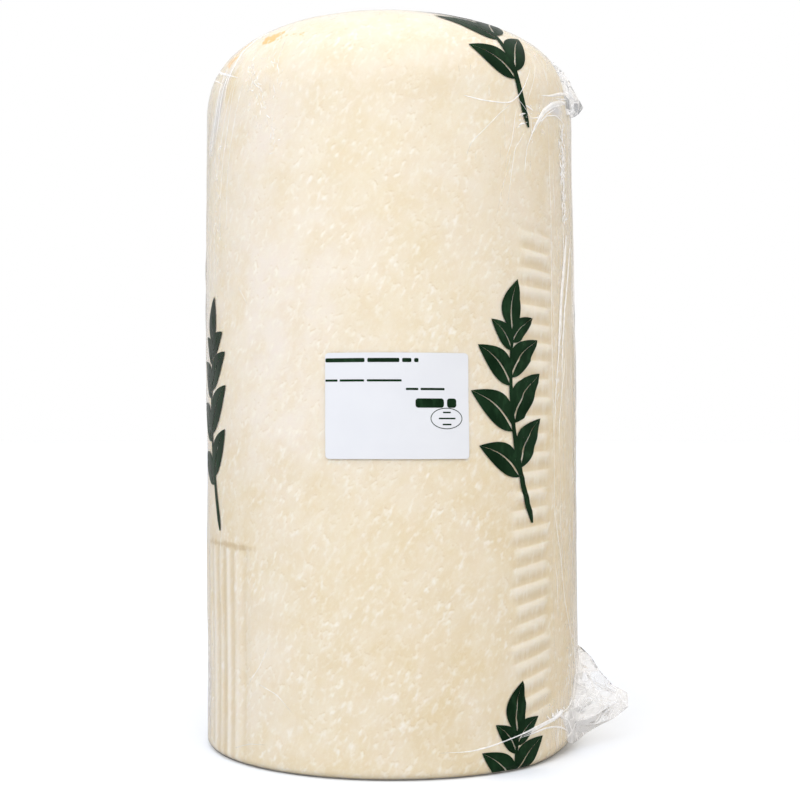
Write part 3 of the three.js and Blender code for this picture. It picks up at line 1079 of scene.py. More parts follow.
def stem_x(y):
    """The stem is a shallow bow."""
    return STEM_BOW * (y - STEM_BOW_MIDDLE) ** 2 - STEM_BOW_REACH


def flat_stem():
    piece = unit_grid("stem", *STEM_STEPS)
    points = read_points(piece)
    up = points[:, 1] + 0.5
    y = STEM_LOW + (STEM_HIGH - STEM_LOW) * up
    half = (1.5 * (1 - up) + 0.5 * up) * np.minimum(1, 0.35 + 12 * up)
    write_points(piece, np.stack([stem_x(y) + 2 * half * points[:, 0], y, np.zeros_like(y)], axis=1))
    return piece


def flat_sprig():
    pieces = [flat_stem()]
    for y, length in PAIRS:
        lean = math.degrees(math.atan2(1, 2 * STEM_BOW * (y - STEM_BOW_MIDDLE)))
        pieces.append(leaf((stem_x(y), y), lean - LEAF_SPREAD, length))
        pieces.append(leaf((stem_x(y), y - PAIR_SHIFT), lean + LEAF_SPREAD, length))
    pieces.append(leaf((stem_x(STEM_HIGH), STEM_HIGH - 1), 82, END_LEAF))
    return joined(pieces, "sprig")


sprig = flat_sprig()
print("sprig:", [round(size, 1) for size in sprig.dimensions], "mm, flat")

# %% Lay sprigs round the form
SPRIG_TURNS = (-66, 40, 146, -140)
SPRIG_REPEAT = 150
SPRIG_FIRST = (134, -12)  # run of the lowest middle, in the even and in the odd columns
SPRIG_LOW, SPRIG_HIGH = 0.6, (240, 334)  # the print is lost in the gathers beyond these runs
SPRIG_PAST = 30  # a sprig is still laid, and cut off, when its middle is this far past the end
SPRIG_NARROWEST = 0.45  # towards the crown a sprig is spread as on this share of the radius
INK_OFF = 0.02 * MM
INK_THICK = 0.03 * MM


def cut_flat(piece, y, above):
    """Cuts a flat piece off above or below a line across it."""
    edit_all(piece)
    bpy.ops.mesh.bisect(plane_co=(0, y, 0), plane_no=(0, 1, 0), clear_outer=above, clear_inner=not above)
    bpy.ops.object.mode_set(mode="OBJECT")


def laid_sprig(middle_turn, middle_run, high):
    piece = copy_of(sprig, "laid_sprig")
    cut_flat(piece, high - middle_run, True)
    cut_flat(piece, SPRIG_LOW - middle_run, False)
    points = read_points(piece)
    run = (points[:, 1] + middle_run) * MM
    reach = np.maximum(np.interp(run, RUN, RUN_R), SPRIG_NARROWEST * RADIUS)
    turn = middle_turn + np.degrees(points[:, 0] * MM / reach)
    write_points(piece, on_skin(turn, run, 1 * MM))
    return piece


def settle_on(piece, target, off, thickness):
    """Lays a thin piece on a target, a distance off it, and gives it a thickness."""
    wrap = piece.modifiers.new("settle", "SHRINKWRAP")
    wrap.target = target
    wrap.wrap_method = "NEAREST_SURFACEPOINT"
    wrap.wrap_mode = "ABOVE_SURFACE"
    wrap.offset = off
    body = piece.modifiers.new("body", "SOLIDIFY")
    body.thickness = thickness
    body.offset = 1
    apply_all(piece)


laid = []
for column, middle in enumerate(SPRIG_TURNS):
    low, high = SPRIG_FIRST[column % 2], SPRIG_HIGH[column % 2]
    laid += [laid_sprig(middle, run, high) for run in range(low, high + SPRIG_PAST, SPRIG_REPEAT)]
print_sprigs = joined(laid, "print_sprigs")
bpy.data.objects.remove(sprig)
settle_on(print_sprigs, film, INK_OFF, INK_THICK)
shaded(print_sprigs, 30)
fixed_to_root(print_sprigs, "print_ink")

# %% [markdown]
# ## The paper label
#
# The label is a plain card with rounded corners. A plane has its corners bevelled, and is cut
# into strips by many bisections, because a flat face can't bend. It is then wrapped round the
# form, settled on the film and given the thickness of its paper and glue. Its print is only
# generic: bars where lines of text would be, and an oval frame.

# %% Label
LABEL_WIDTH, LABEL_TALL = 53.5, 38.7
LABEL_CORNER = 1.4
LABEL_TURN, LABEL_Z = 2.2, 135.9
LABEL_OFF, LABEL_THICK = 0.12 * MM, 0.25 * MM
STRIP = 2.0  # the widest strip that a card is cut into


def card(width, tall, corner, x=0.0, y=0.0):
    """A flat card with rounded corners, cut into strips both ways, in millimetres."""
    select_only(None)
    bpy.ops.mesh.primitive_plane_add(size=1, location=(x, y, 0))
    piece = named("card")
    piece.scale = (width, tall, 1)
    apply_place(piece)
    edit_all(piece)
    bpy.ops.mesh.bevel(offset=corner, affect="VERTICES", segments=5)
    for size, middle, normal in ((width, x, (1, 0, 0)), (tall, y, (0, 1, 0))):
        cuts = math.ceil(size / STRIP)
        for i in range(1, cuts):
            place = middle + size * (i / cuts - 0.5)
            bpy.ops.mesh.select_all(action="SELECT")
            bpy.ops.mesh.bisect(plane_co=[place * abs(n) for n in normal], plane_no=normal)
    bpy.ops.object.mode_set(mode="OBJECT")
    return piece


def wrap_at_label(piece):
    points = read_points(piece)
    turn = LABEL_TURN + np.degrees(points[:, 0] * MM / RADIUS)
    write_points(piece, on_skin(turn, (points[:, 1] + LABEL_Z) * MM, 1 * MM))


paper_label = card(LABEL_WIDTH, LABEL_TALL, LABEL_CORNER)
paper_label.name = "paper_label"
wrap_at_label(paper_label)
settle_on(paper_label, film, LABEL_OFF, LABEL_THICK)
shaded(paper_label, 40)
fixed_to_root(paper_label, "label_paper", "label")

# %% Print on the label
BARS = (  # left end and middle height from the label's middle, length and thickness, in mm
    (-26.6, 16.6, 14.6, 1.5), (-11.0, 16.6, 11.6, 1.5), (1.6, 16.6, 3.4, 1.5), (6.0, 16.6, 1.6, 1.5),
    (-26.6, 9.2, 4.6, 0.8), (-21.2, 9.2, 9.0, 0.8), (-11.2, 9.2, 12.6, 0.8),
    (2.9, 6.1, 4.6, 0.8), (8.3, 6.1, 9.0, 0.8),
    (6.4, 1.0, 10.6, 3.4), (18.2, 1.0, 3.6, 3.4),
    (16.6, -2.4, 3.0, 0.55), (15.0, -4.6, 6.4, 0.55), (16.4, -6.8, 3.4, 0.55),
)
OVAL = (18.0, -4.6, 6.1, 3.9)  # middle, half width, half height
OVAL_LINE = 0.28
LABEL_INK_OFF, LABEL_INK_THICK = 0.03 * MM, 0.02 * MM


def oval_ring():
    """An oval face, inset and opened to a fine line."""
    x, y, half_width, half_height = OVAL
    select_only(None)
    bpy.ops.mesh.primitive_circle_add(vertices=48, radius=1, fill_type="NGON", location=(x, y, 0))
    piece = named("oval")
    piece.scale = (half_width, half_height, 1)
    apply_place(piece)
    edit_all(piece)
    bpy.ops.mesh.inset(thickness=OVAL_LINE)
    bpy.ops.mesh.delete(type="FACE")
    bpy.ops.object.mode_set(mode="OBJECT")
    return piece


prints = [card(long, thick, thick * 0.3, left + long / 2, y) for left, y, long, thick in BARS]
label_print = joined(prints + [oval_ring()], "label_print")
wrap_at_label(label_print)
settle_on(label_print, paper_label, LABEL_INK_OFF, LABEL_INK_THICK)
shaded(label_print, 40)
fixed_to_root(label_print, "print_ink")

# %% [markdown]
# ## Finishes
#
# A small helper adds a node and sets or links its inputs, so that each material below reads as a
# recipe. Two effects come back again and again, so they are node groups: soft mottling, and fine
# bright lines such as streaks and creases.

# %% Helpers for materials
def add_node(tree, kind, inputs=None, **settings):
    node = tree.nodes.new(kind)
    for name, value in settings.items():
        setattr(node, name, value)
    for name, value in (inputs or {}).items():
        if isinstance(value, bpy.types.NodeSocket):
            tree.links.new(value, node.inputs[name])
        else:
            node.inputs[name].default_value = value
    return node


def maths(tree, operation, a, b=0.0, clamp=False):
    node = add_node(tree, "ShaderNodeMath", {0: a, 1: b}, operation=operation, use_clamp=clamp)
    return node.outputs[0]


def times(tree, a, b, clamp=False):
    return maths(tree, "MULTIPLY", a, b, clamp)


def plus(tree, a, b, clamp=False):
    return maths(tree, "ADD", a, b, clamp)


def minus(tree, a, b, clamp=False):
    return maths(tree, "SUBTRACT", a, b, clamp)


def larger(tree, a, b):
    return maths(tree, "MAXIMUM", a, b)


def ramp(tree, value, low, high, to_low=0.0, to_high=1.0):
    """Maps a value smoothly from low..high to to_low..to_high."""
    limits = {"Value": value, "From Min": low, "From Max": high, "To Min": to_low, "To Max": to_high}
    node = add_node(tree, "ShaderNodeMapRange", limits, interpolation_type="SMOOTHSTEP")
    return node.outputs[0]


def mix_colours(tree, factor, a, b):
    node = add_node(tree, "ShaderNodeMix", {0: factor, 6: a, 7: b}, data_type="RGBA")
    return node.outputs[2]


def tinted(tree, colour, tint, mask, share):
    """A colour under a tint, which a share of a mask lets show."""
    return mix_colours(tree, times(tree, mask, share), colour, tint)


def mix_shaders(tree, factor, a, b):
    return add_node(tree, "ShaderNodeMixShader", {0: factor, 1: a, 2: b}).outputs[0]


def principled(tree, inputs):
    return add_node(tree, "ShaderNodeBsdfPrincipled", inputs).outputs[0]


def bumped(tree, height, strength, distance):
    """Normals of a surface that a height pushes in and out."""
    inputs = {"Height": height, "Strength": strength, "Distance": distance}
    return add_node(tree, "ShaderNodeBump", inputs).outputs[0]


def object_place(tree):
    return add_node(tree, "ShaderNodeTexCoord").outputs["Object"]


def point_mask(tree, name):
    """A number kept at the points of a mesh."""
    return add_node(tree, "ShaderNodeAttribute", attribute_name=name).outputs["Fac"]


def drawn_tall(tree, place, height):
    """Places with their height shortened to a share, which draws a pattern out upright."""
    return add_node(tree, "ShaderNodeMapping", {"Vector": place, "Scale": (1, 1, height)}).outputs[0]


def noise_of(tree, vector, scale, detail=2.0, roughness=0.5):
    inputs = {"Vector": vector, "Scale": scale, "Detail": detail, "Roughness": roughness}
    return add_node(tree, "ShaderNodeTexNoise", inputs).outputs[0]


def material_on(piece, name, index=0):
    """A new, empty material in a slot of a piece."""
    if index < len(piece.data.materials):
        made = piece.data.materials[index]
    else:
        made = bpy.data.materials.new(name)
        piece.data.materials.append(made)
    made.use_nodes = True
    made.node_tree.nodes.clear()
    return made.node_tree


def finish_with(tree, shader):
    output = add_node(tree, "ShaderNodeOutputMaterial")
    tree.links.new(shader, output.inputs["Surface"])


# %% Shared effects
def group_with(name, inputs, outputs):
    """A node group with named inputs and outputs, and its two end nodes."""
    tree = bpy.data.node_groups.new(name, "ShaderNodeTree")
    for socket, kind in inputs.items():
        tree.interface.new_socket(name=socket, in_out="INPUT", socket_type=kind)
    for socket, kind in outputs.items():
        tree.interface.new_socket(name=socket, in_out="OUTPUT", socket_type=kind)
    return tree, add_node(tree, "NodeGroupInput"), add_node(tree, "NodeGroupOutput")


def mottle_group():
    """Soft patches from 0 to 1, of a size, over a threshold and with a softness."""
    inputs = {"Vector": "NodeSocketVector", "Scale": "NodeSocketFloat"}
    inputs.update({"Threshold": "NodeSocketFloat", "Softness": "NodeSocketFloat"})
    tree, start, end = group_with("mottle", inputs, {"Mask": "NodeSocketFloat"})
    patches = noise_of(tree, start.outputs["Vector"], start.outputs["Scale"], 3.0, 0.55)
    low = minus(tree, start.outputs["Threshold"], start.outputs["Softness"])
    high = plus(tree, start.outputs["Threshold"], start.outputs["Softness"])
    tree.links.new(ramp(tree, patches, low, high), end.inputs["Mask"])
    return tree


def lines_group():
    """Thin bright lines from 0 to 1, where a noise crosses its middle."""
    inputs = {"Vector": "NodeSocketVector", "Scale": "NodeSocketFloat", "Width": "NodeSocketFloat"}
    tree, start, end = group_with("fine_lines", inputs, {"Mask": "NodeSocketFloat"})
    waves = noise_of(tree, start.outputs["Vector"], start.outputs["Scale"])
    away = maths(tree, "ABSOLUTE", minus(tree, waves, 0.5))
    tree.links.new(ramp(tree, away, 0.0, start.outputs["Width"], 1.0, 0.0), end.inputs["Mask"])
    return tree


MOTTLE = mottle_group()
FINE_LINES = lines_group()


def mottle(tree, vector, scale, threshold=0.5, softness=0.1):
    inputs = {"Vector": vector, "Scale": scale, "Threshold": threshold, "Softness": softness}
    return add_node(tree, "ShaderNodeGroup", inputs, node_tree=MOTTLE).outputs["Mask"]


def fine_lines(tree, vector, scale, width):
    inputs = {"Vector": vector, "Scale": scale, "Width": width}
    return add_node(tree, "ShaderNodeGroup", inputs, node_tree=FINE_LINES).outputs["Mask"]


print("node groups:", MOTTLE.name, FINE_LINES.name)

# %% [markdown]
# ## Cheese
#
# Provolone is a warm cream, never one flat colour. Broad clouds are a little paler or warmer at
# random. On top of them the left side and the dome are painted paler as painted light, and the
# cheese is painted warmer in patches, partly as its own tone and partly as painted shade on the
# right side, at the foot and by the left shoulder. Soft dabs are nearly white where fat has bloomed
# under the film. They lean a little to the right at their upper ends, and some have a small
# painted tan shadow there, as on the upper edge of a shallow pit. The ribs are paler at their upper
# edges and tan on their lower slopes, partly bloom pressed on the ridges and partly painted light
# and shade. The furrows and the ledge of the flutes are painted tan as shade, and the flutes' backs
# carry a painted highlight. The rubbed shoulder is orange in patches. The curd scatters some light
# under its surface, which softens the relief.

# %% Cheese material
# The paler cream also paints light, and the warmer cream also paints shade. The bloom colour also paints the
# lit upper edges of the ribs, and the fat white the highlight on the flutes' backs. The tan paints shade: in
# small commas, in the furrows and along the ledge. The rib shade is painted shade on the ribs' lower slopes.
CREAM = (0.731, 0.645, 0.486, 1)
CREAM_PALE_AND_LIT = (0.757, 0.692, 0.614, 1)
CREAM_WARM_AND_SHADE = (0.700, 0.594, 0.402, 1)
BLOOM_AND_RIB_LIGHT = (0.790, 0.742, 0.640, 1)
FAT_WHITE_AND_HIGHLIGHT = (0.860, 0.835, 0.780, 1)
TAN_SHADE = (0.600, 0.485, 0.310, 1)
RIB_SHADE = (0.665, 0.562, 0.392, 1)
RIND = (0.740, 0.490, 0.205, 1)
FLECK_LEAN = math.tan(math.radians(20))  # how far the flecks lean to the right at their top
FLECK_SCALE = 470
FLECK_STRETCH = 0.75
COMMA = 0.7 * MM  # how far above its fleck a small tan shadow lies


def leaning_round(tree, place, height):
    """Places twisted round the axis, so that what is upright there leans on the cheese."""
    twist = times(tree, height, -FLECK_LEAN / RADIUS)
    inputs = {"Vector": place, "Angle": twist}
    return add_node(tree, "ShaderNodeVectorRotate", inputs, rotation_type="Z_AXIS").outputs[0]


def rib_place(tree, unrolled):
    """Runs from 0 at the foot of each rib to 1 at its upper edge."""
    flat = add_node(tree, "ShaderNodeSeparateXYZ", {0: unrolled})
    across = minus(tree, flat.outputs["X"], RADIUS * math.radians(RIB_TURN))
    limits = {"Value": flat.outputs["Y"], "From Min": RIB_LOW, "From Max": RIB_HIGH}
    limits.update({"To Min": RIB_SLOPE_LOW, "To Max": RIB_SLOPE_HIGH})
    slope = add_node(tree, "ShaderNodeMapRange", limits).outputs[0]
    rise = minus(tree, flat.outputs["Y"], times(tree, slope, across))
    return maths(tree, "FRACT", maths(tree, "DIVIDE", rise, RIB_PITCH))


def cheese_finish(piece):
    tree = material_on(piece, "cheese_curd")
    place = object_place(tree)
    unrolled = add_node(tree, "ShaderNodeUVMap", uv_map="unrolled").outputs[0]
    height = add_node(tree, "ShaderNodeSeparateXYZ", {0: place}).outputs["Z"]

    # Random clouds, with painted light on the left and the dome, and painted shade on the right and at the
    # foot.
    clouds = times(tree, mottle(tree, place, 30, 0.5, 0.2), 0.5)
    paler_and_lit = plus(tree, clouds, point_mask(tree, "painted_light"))
    colour = mix_colours(tree, maths(tree, "MINIMUM", paler_and_lit, 1.0), CREAM, CREAM_PALE_AND_LIT)
    clouds = times(tree, mottle(tree, place, 75, 0.54, 0.14), 0.45)
    warmer_and_shaded = plus(tree, clouds, point_mask(tree, "warm_and_shaded"))
    colour = mix_colours(tree, maths(tree, "MINIMUM", warmer_and_shaded, 1.0), colour, CREAM_WARM_AND_SHADE)

    twisted = leaning_round(tree, place, height)
    leaning = drawn_tall(tree, twisted, FLECK_STRETCH)
    smears = mottle(tree, leaning, 140, 0.52, 0.14)
    colour = tinted(tree, colour, BLOOM_AND_RIB_LIGHT, smears, 0.3)
    fine = ramp(tree, noise_of(tree, leaning, 900, 3.0, 0.6), 0.48, 0.72)
    colour = tinted(tree, colour, BLOOM_AND_RIB_LIGHT, fine, 0.3)
    blobs = noise_of(tree, leaning, FLECK_SCALE, 1.5, 0.5)
    often = mottle(tree, place, 60, 0.46, 0.15)
    soft = times(tree, ramp(tree, blobs, 0.45, 0.77), ramp(tree, often, 0.0, 1.0, 0.5, 0.95))
    colour = mix_colours(tree, soft, colour, BLOOM_AND_RIB_LIGHT)
    cores = times(tree, ramp(tree, blobs, 0.62, 0.78), often)
    colour = tinted(tree, colour, FAT_WHITE_AND_HIGHLIGHT, cores, 0.4)

    # A small painted tan shadow just above each fleck, as on the upper edge of a pit lit from above.
    shift = {"Vector": leaning, "Location": (0, 0, -FLECK_STRETCH * COMMA)}
    higher = add_node(tree, "ShaderNodeMapping", shift).outputs[0]
    shifted = ramp(tree, noise_of(tree, higher, FLECK_SCALE, 1.5, 0.5), 0.56, 0.66)
    comma_shadows = minus(tree, shifted, ramp(tree, blobs, 0.52, 0.62), clamp=True)
    comma_shadows = times(tree, comma_shadows, mottle(tree, place, 40, 0.47, 0.1))
    colour = tinted(tree, colour, TAN_SHADE, comma_shadows, 0.38)

    # The ribs: paler bloom at the upper edge of each and tan down its lower slope, partly bloom pressed on
    # the ridges and partly painted light and shade.
    striations = mottle(tree, drawn_tall(tree, place, 0.14), 480, 0.54, 0.08)
    ribbed = point_mask(tree, "ribbed")
    rib = rib_place(tree, unrolled)
    ragged = times(tree, minus(tree, striations, 0.5), 0.12)
    tone = ramp(tree, plus(tree, rib, ragged), 0.12, 0.62)
    tone = times(tree, tone, ramp(tree, rib, 0.86, 1.0, 1.0, 0.0))
    rib_light_and_shade = mix_colours(tree, tone, RIB_SHADE, BLOOM_AND_RIB_LIGHT)
    rib_light_and_shade = tinted(tree, rib_light_and_shade, FAT_WHITE_AND_HIGHLIGHT, striations, 0.16)
    colour = tinted(tree, colour, rib_light_and_shade, ribbed, 0.7)

    # Painted tan shade along the ledge and in the furrows, and a painted highlight on the flutes' backs.
    ledge_edge = noise_of(tree, drawn_tall(tree, place, 0.5), 420, 3.0, 0.6)
    ledge_edge = times(tree, minus(tree, ledge_edge, 0.5), 1.5)
    ragged_ledge = ramp(tree, plus(tree, point_mask(tree, "ledge"), ledge_edge), 0.2, 1.0)
    furrows = times(tree, point_mask(tree, "furrow_shaded"), 0.7)
    ledge = times(tree, ragged_ledge, 0.9)
    colour = tinted(tree, colour, FAT_WHITE_AND_HIGHLIGHT, point_mask(tree, "flute_lit"), 0.6)
    colour = mix_colours(tree, larger(tree, furrows, ledge), colour, TAN_SHADE)
    rind = point_mask(tree, "rind")
    broken = times(tree, minus(tree, noise_of(tree, place, 300, 4.0, 0.65), 0.5), 3.4)
    worn = ramp(tree, plus(tree, rind, broken), 0.62, 0.8)
    worn = times(tree, worn, ramp(tree, rind, 0.05, 0.3))
    colour = tinted(tree, colour, RIND, worn, 0.95)

    grain = noise_of(tree, place, 1300)
    relief = plus(tree, times(tree, grain, 0.15), times(tree, soft, 0.12))
    relief = plus(tree, relief, times(tree, times(tree, tone, ribbed), 0.6))
    normal = bumped(tree, relief, 0.7, 0.35 * MM)
    inputs = {
        "Base Color": colour,
        "Roughness": ramp(tree, soft, 0.0, 1.0, 0.5, 0.6),
        "Normal": normal,
        "Subsurface Weight": 0.15,
        "Subsurface Radius": (1.0, 0.7, 0.35),
        "Subsurface Scale": 1.0 * MM,
        "Specular IOR Level": 0.25,
    }
    finish_with(tree, principled(tree, inputs))


cheese_finish(cheese)

# %% [markdown]
# ## Clear film
#
# Film that lies tight is almost invisible. What shows is a little gloss at a glancing angle, and a
# white haze where the film is slack, doubled or finely creased. So clear and white are mixed by a
# mask, and a gloss is laid over them by Fresnel. Where doubled film stands off over a gap, it is
# milky and painted grey, as painted shade of the gap behind it. Film this thin hardly casts a
# shadow, so the mask is weakened for shadow rays. The ears let light through from behind, which a
# translucent share does. They are crushed into cells of two sizes, each a little more or less hazy
# and painted whiter or greyer at random as painted shade on their facets, and the borders of the
# cells are their crisp folds. A dark outline is painted along their outer edge, as the shade that
# a film's edge shows. Crease ridges are haziest at their crest and clear at their sides. They have
# no mirror gloss, which would turn them grey.

# %% Film materials
FILM_IOR = 1.12
EAR_IOR = 1.25
CELL_SCALES = (105, 250)  # broad and small cells of crushed film, per metre
CELL_STIR = 5 * MM  # how far the cells are pushed about
SHADOW_LEFT = 0.2  # share of its shadow that the film still casts
EAR_SHADOW_LEFT = 0.05
EARS_APART = (100 * MM, 200 * MM)  # the lower ear ends below these heights, the upper one is above
FILM_WHITE = (0.98, 0.98, 0.985, 1)
FILM_DULL = (0.95, 0.95, 0.96, 1)
# The milky grey is painted shade of the gap behind doubled film, the ear greys are painted shade on facets,
# and the dark rim is a painted dark outline along the ears' edge.
MILKY_GREY_SHADE = (0.62, 0.64, 0.69, 1)
EAR_PALE_SHADE, EAR_GREY_SHADE = (0.80, 0.81, 0.825, 1), (0.36, 0.38, 0.41, 1)  # of the lower and the upper ear
RIM_SHADE = (0.13, 0.14, 0.16, 1)
MIRROR = (1, 1, 1, 1)


def hazy(tree, haze, normal, haze_colour, through=0.0, shadow_left=SHADOW_LEFT):
    """Clear film with a white haze by a mask, some of it lit from behind."""
    inputs = {"Base Color": haze_colour, "Roughness": 0.35, "Normal": normal, "Specular IOR Level": 0.3}
    white = principled(tree, inputs)
    if through:
        inputs = {"Color": haze_colour, "Normal": normal}
        behind = add_node(tree, "ShaderNodeBsdfTranslucent", inputs).outputs[0]
        white = mix_shaders(tree, through, white, behind)
    clear = add_node(tree, "ShaderNodeBsdfTransparent").outputs[0]
    in_shadow = add_node(tree, "ShaderNodeLightPath").outputs["Is Shadow Ray"]
    kept = minus(tree, 1.0, times(tree, in_shadow, 1 - shadow_left))
    mask = times(tree, haze, kept, clamp=True)
    return mix_shaders(tree, mask, clear, white), kept


def glossed(tree, under, kept, normal, ior, rough):
    """A gloss over film by Fresnel, left out of its shadow."""
    inputs = {"Base Color": MIRROR, "Metallic": 1.0, "Roughness": rough, "Normal": normal}
    gloss = principled(tree, inputs)
    glance = add_node(tree, "ShaderNodeFresnel", {"IOR": ior, "Normal": normal}).outputs[0]
    glance = times(tree, glance, kept)
    finish_with(tree, mix_shaders(tree, glance, under, gloss))


def film_finish(piece):
    tree = material_on(piece, "film_tight")
    place = object_place(tree)

    slack = point_mask(tree, "slack")
    tall = drawn_tall(tree, place, 0.06)
    streaks = fine_lines(tree, tall, 170, 0.02)
    fine = fine_lines(tree, drawn_tall(tree, place, 0.12), 420, 0.025)
    lines = larger(tree, streaks, times(tree, fine, 0.6))
    patchy = ramp(tree, noise_of(tree, drawn_tall(tree, place, 0.25), 90), 0.42, 0.66)
    lines = times(tree, lines, patchy)
    specks = fine_lines(tree, drawn_tall(tree, place, 0.5), 300, 0.03)
    specks = times(tree, specks, mottle(tree, place, 200, 0.58, 0.06))
    specks = times(tree, specks, point_mask(tree, "crumpled"))
    # Where film stands off doubled, it is milky, and painted grey as the shade of the gap behind it.
    uneven_veil = ramp(tree, noise_of(tree, tall, 160), 0.3, 0.6, 0.5, 1.0)
    veil_and_gap_shade = times(tree, point_mask(tree, "veiled"), uneven_veil)
    haze = times(tree, times(tree, lines, slack), 0.75)
    haze = larger(tree, haze, times(tree, specks, 0.9))
    haze = larger(tree, haze, times(tree, veil_and_gap_shade, 0.75))
    colour = mix_colours(tree, veil_and_gap_shade, FILM_WHITE, MILKY_GREY_SHADE)
    crumple = noise_of(tree, drawn_tall(tree, place, 0.25), 330)
    relief = times(tree, plus(tree, crumple, lines), plus(tree, slack, 0.08))
    normal = bumped(tree, relief, 0.35, 0.4 * MM)
    under, kept = hazy(tree, haze, normal, colour)
    glossed(tree, under, kept, normal, FILM_IOR, 0.2)


def crease_finish(piece, index, name, haze_low, haze_high, colour):
    tree = material_on(piece, name, index)
    place = object_place(tree)
    crest = point_mask(tree, "crest")
    haze = ramp(tree, noise_of(tree, place, 340), 0.35, 0.65, haze_low, haze_high)
    haze = times(tree, haze, ramp(tree, crest, 0.0, 0.6))
    crumple = noise_of(tree, place, 900)
    normal = bumped(tree, crumple, 0.3, 0.15 * MM)
    finish_with(tree, hazy(tree, haze, normal, colour, 0.3, 0.0)[0])


def ear_finish(piece):
    """Crushed film: hazy cells painted greyer or whiter as facet shade, crisp white folds, a painted dark
    rim.
    """
    tree = material_on(piece, "film_crushed")
    place = object_place(tree)
    height = add_node(tree, "ShaderNodeSeparateXYZ", {0: place}).outputs["Z"]
    webbed = point_mask(tree, "webbed")
    rim = point_mask(tree, "rim")
    upper = ramp(tree, height, *EARS_APART)

    def vector_maths(operation, a, b):
        return add_node(tree, "ShaderNodeVectorMath", {0: a, 1: b}, operation=operation).outputs[0]

    waves = add_node(tree, "ShaderNodeTexNoise", {"Vector": place, "Scale": 90, "Detail": 1.0})
    stir = vector_maths("MULTIPLY", waves.outputs["Color"], (CELL_STIR,) * 3)
    stirred = vector_maths("ADD", place, stir)

    def cells(scale, feature, output):
        inputs = {"Vector": stirred, "Scale": scale}
        return add_node(tree, "ShaderNodeTexVoronoi", inputs, feature=feature).outputs[output]

    def cell_tone(scale):
        """One random value all over each cell."""
        return add_node(tree, "ShaderNodeSeparateColor", {0: cells(scale, "F1", "Color")}).outputs[0]

    broad_edge, small_edge = (cells(scale, "DISTANCE_TO_EDGE", "Distance") for scale in CELL_SCALES)
    broad_tone, small_tone = (cell_tone(scale) for scale in CELL_SCALES)
    folds = ramp(tree, broad_edge, 0.0, 0.05, 1.0, 0.0)
    small_folds = ramp(tree, small_edge, 0.0, 0.07, 1.0, 0.0)
    small_folds = times(tree, small_folds, mottle(tree, place, 120, 0.5, 0.05))
    folds = larger(tree, folds, times(tree, small_folds, 0.6))
    small_tone = times(tree, small_tone, ramp(tree, upper, 0.0, 1.0, 0.3, 0.8))
    broad_tone = times(tree, broad_tone, ramp(tree, upper, 0.0, 1.0, 0.65, 0.2))
    tone = plus(tree, small_tone, broad_tone)

    haze = plus(tree, ramp(tree, tone, 0.2, 0.8, 0.0, 0.3), times(tree, folds, 0.5))
    more = larger(tree, times(tree, webbed, 0.4), times(tree, upper, 0.4))
    haze = plus(tree, plus(tree, haze, more), 0.12, clamp=True)
    # The cells are painted the shade colour or white: painted shade on the facets, greyest on the upper ear.
    shade = mix_colours(tree, upper, EAR_PALE_SHADE, EAR_GREY_SHADE)
    bare = times(tree, webbed, minus(tree, 1.0, times(tree, upper, 0.8)))
    whiter = larger(tree, ramp(tree, tone, 0.3, 0.5), larger(tree, folds, bare))
    colour = mix_colours(tree, whiter, shade, FILM_WHITE)
    # A dark outline is painted along the outer edge, as the shade that a film's edge shows.
    rim_shaded = plus(tree, rim, times(tree, upper, times(tree, rim, 0.4)))
    rim_shaded = times(tree, ramp(tree, rim_shaded, 0.6, 0.95), mottle(tree, place, 480, 0.53, 0.03))
    colour = mix_colours(tree, rim_shaded, colour, RIM_SHADE)
    haze = larger(tree, haze, times(tree, rim_shaded, 0.9))
    crumple = plus(tree, broad_edge, times(tree, small_edge, 0.2))
    normal = bumped(tree, crumple, 0.6, 1.5 * MM)
    through = minus(tree, 0.5, times(tree, webbed, 0.2))
    under, kept = hazy(tree, haze, normal, colour, through, EAR_SHADOW_LEFT)
    glossed(tree, under, kept, normal, EAR_IOR, 0.25)


film_finish(film)
crease_finish(film_folds, WHITE, "crease_white", 0.8, 1.0, FILM_WHITE)
crease_finish(film_folds, CLEAR, "crease_clear", 0.2, 0.5, FILM_DULL)
ear_finish(film_ears)

# %% [markdown]
# ## Ink and paper
#
# The ink is a dark green that the film makes glossy. It is painted lighter in specks and patches,
# partly as thinner ink and partly as a painted sheen of light on the ink. The label is smooth,
# slightly bluish paper with a faint fibre.

# %% Ink and paper materials
INK = (0.0020, 0.0130, 0.0035, 1)
INK_THIN_AND_SHEEN = (0.0140, 0.0440, 0.0180, 1)
PAPER = (0.697, 0.710, 0.738, 1)
PAPER_SHADE = (0.682, 0.695, 0.727, 1)


def ink_finish(piece, rough_low, rough_high):
    tree = material_on(piece, "green_ink")
    place = object_place(tree)
    # Lighter specks and patches: partly thinner ink, partly a painted sheen of light on the ink.
    specks = mottle(tree, drawn_tall(tree, place, 0.4), 420, 0.58, 0.08)
    patches = mottle(tree, place, 60, 0.5, 0.15)
    worn = times(tree, plus(tree, specks, patches), 0.4)
    inputs = {
        "Base Color": mix_colours(tree, worn, INK, INK_THIN_AND_SHEEN),
        "Roughness": ramp(tree, specks, 0.0, 1.0, rough_low, rough_high),
        "Specular IOR Level": 0.05,
    }
    finish_with(tree, principled(tree, inputs))


def paper_finish(piece):
    tree = material_on(piece, "label_paper")
    place = object_place(tree)
    fibre = noise_of(tree, place, 2600, 3.0, 0.6)
    colour = mix_colours(tree, mottle(tree, place, 90, 0.5, 0.2), PAPER, PAPER_SHADE)
    normal = bumped(tree, fibre, 0.12, 0.05 * MM)
    inputs = {"Base Color": colour, "Roughness": 0.45, "Normal": normal, "Specular IOR Level": 0.2}
    finish_with(tree, principled(tree, inputs))


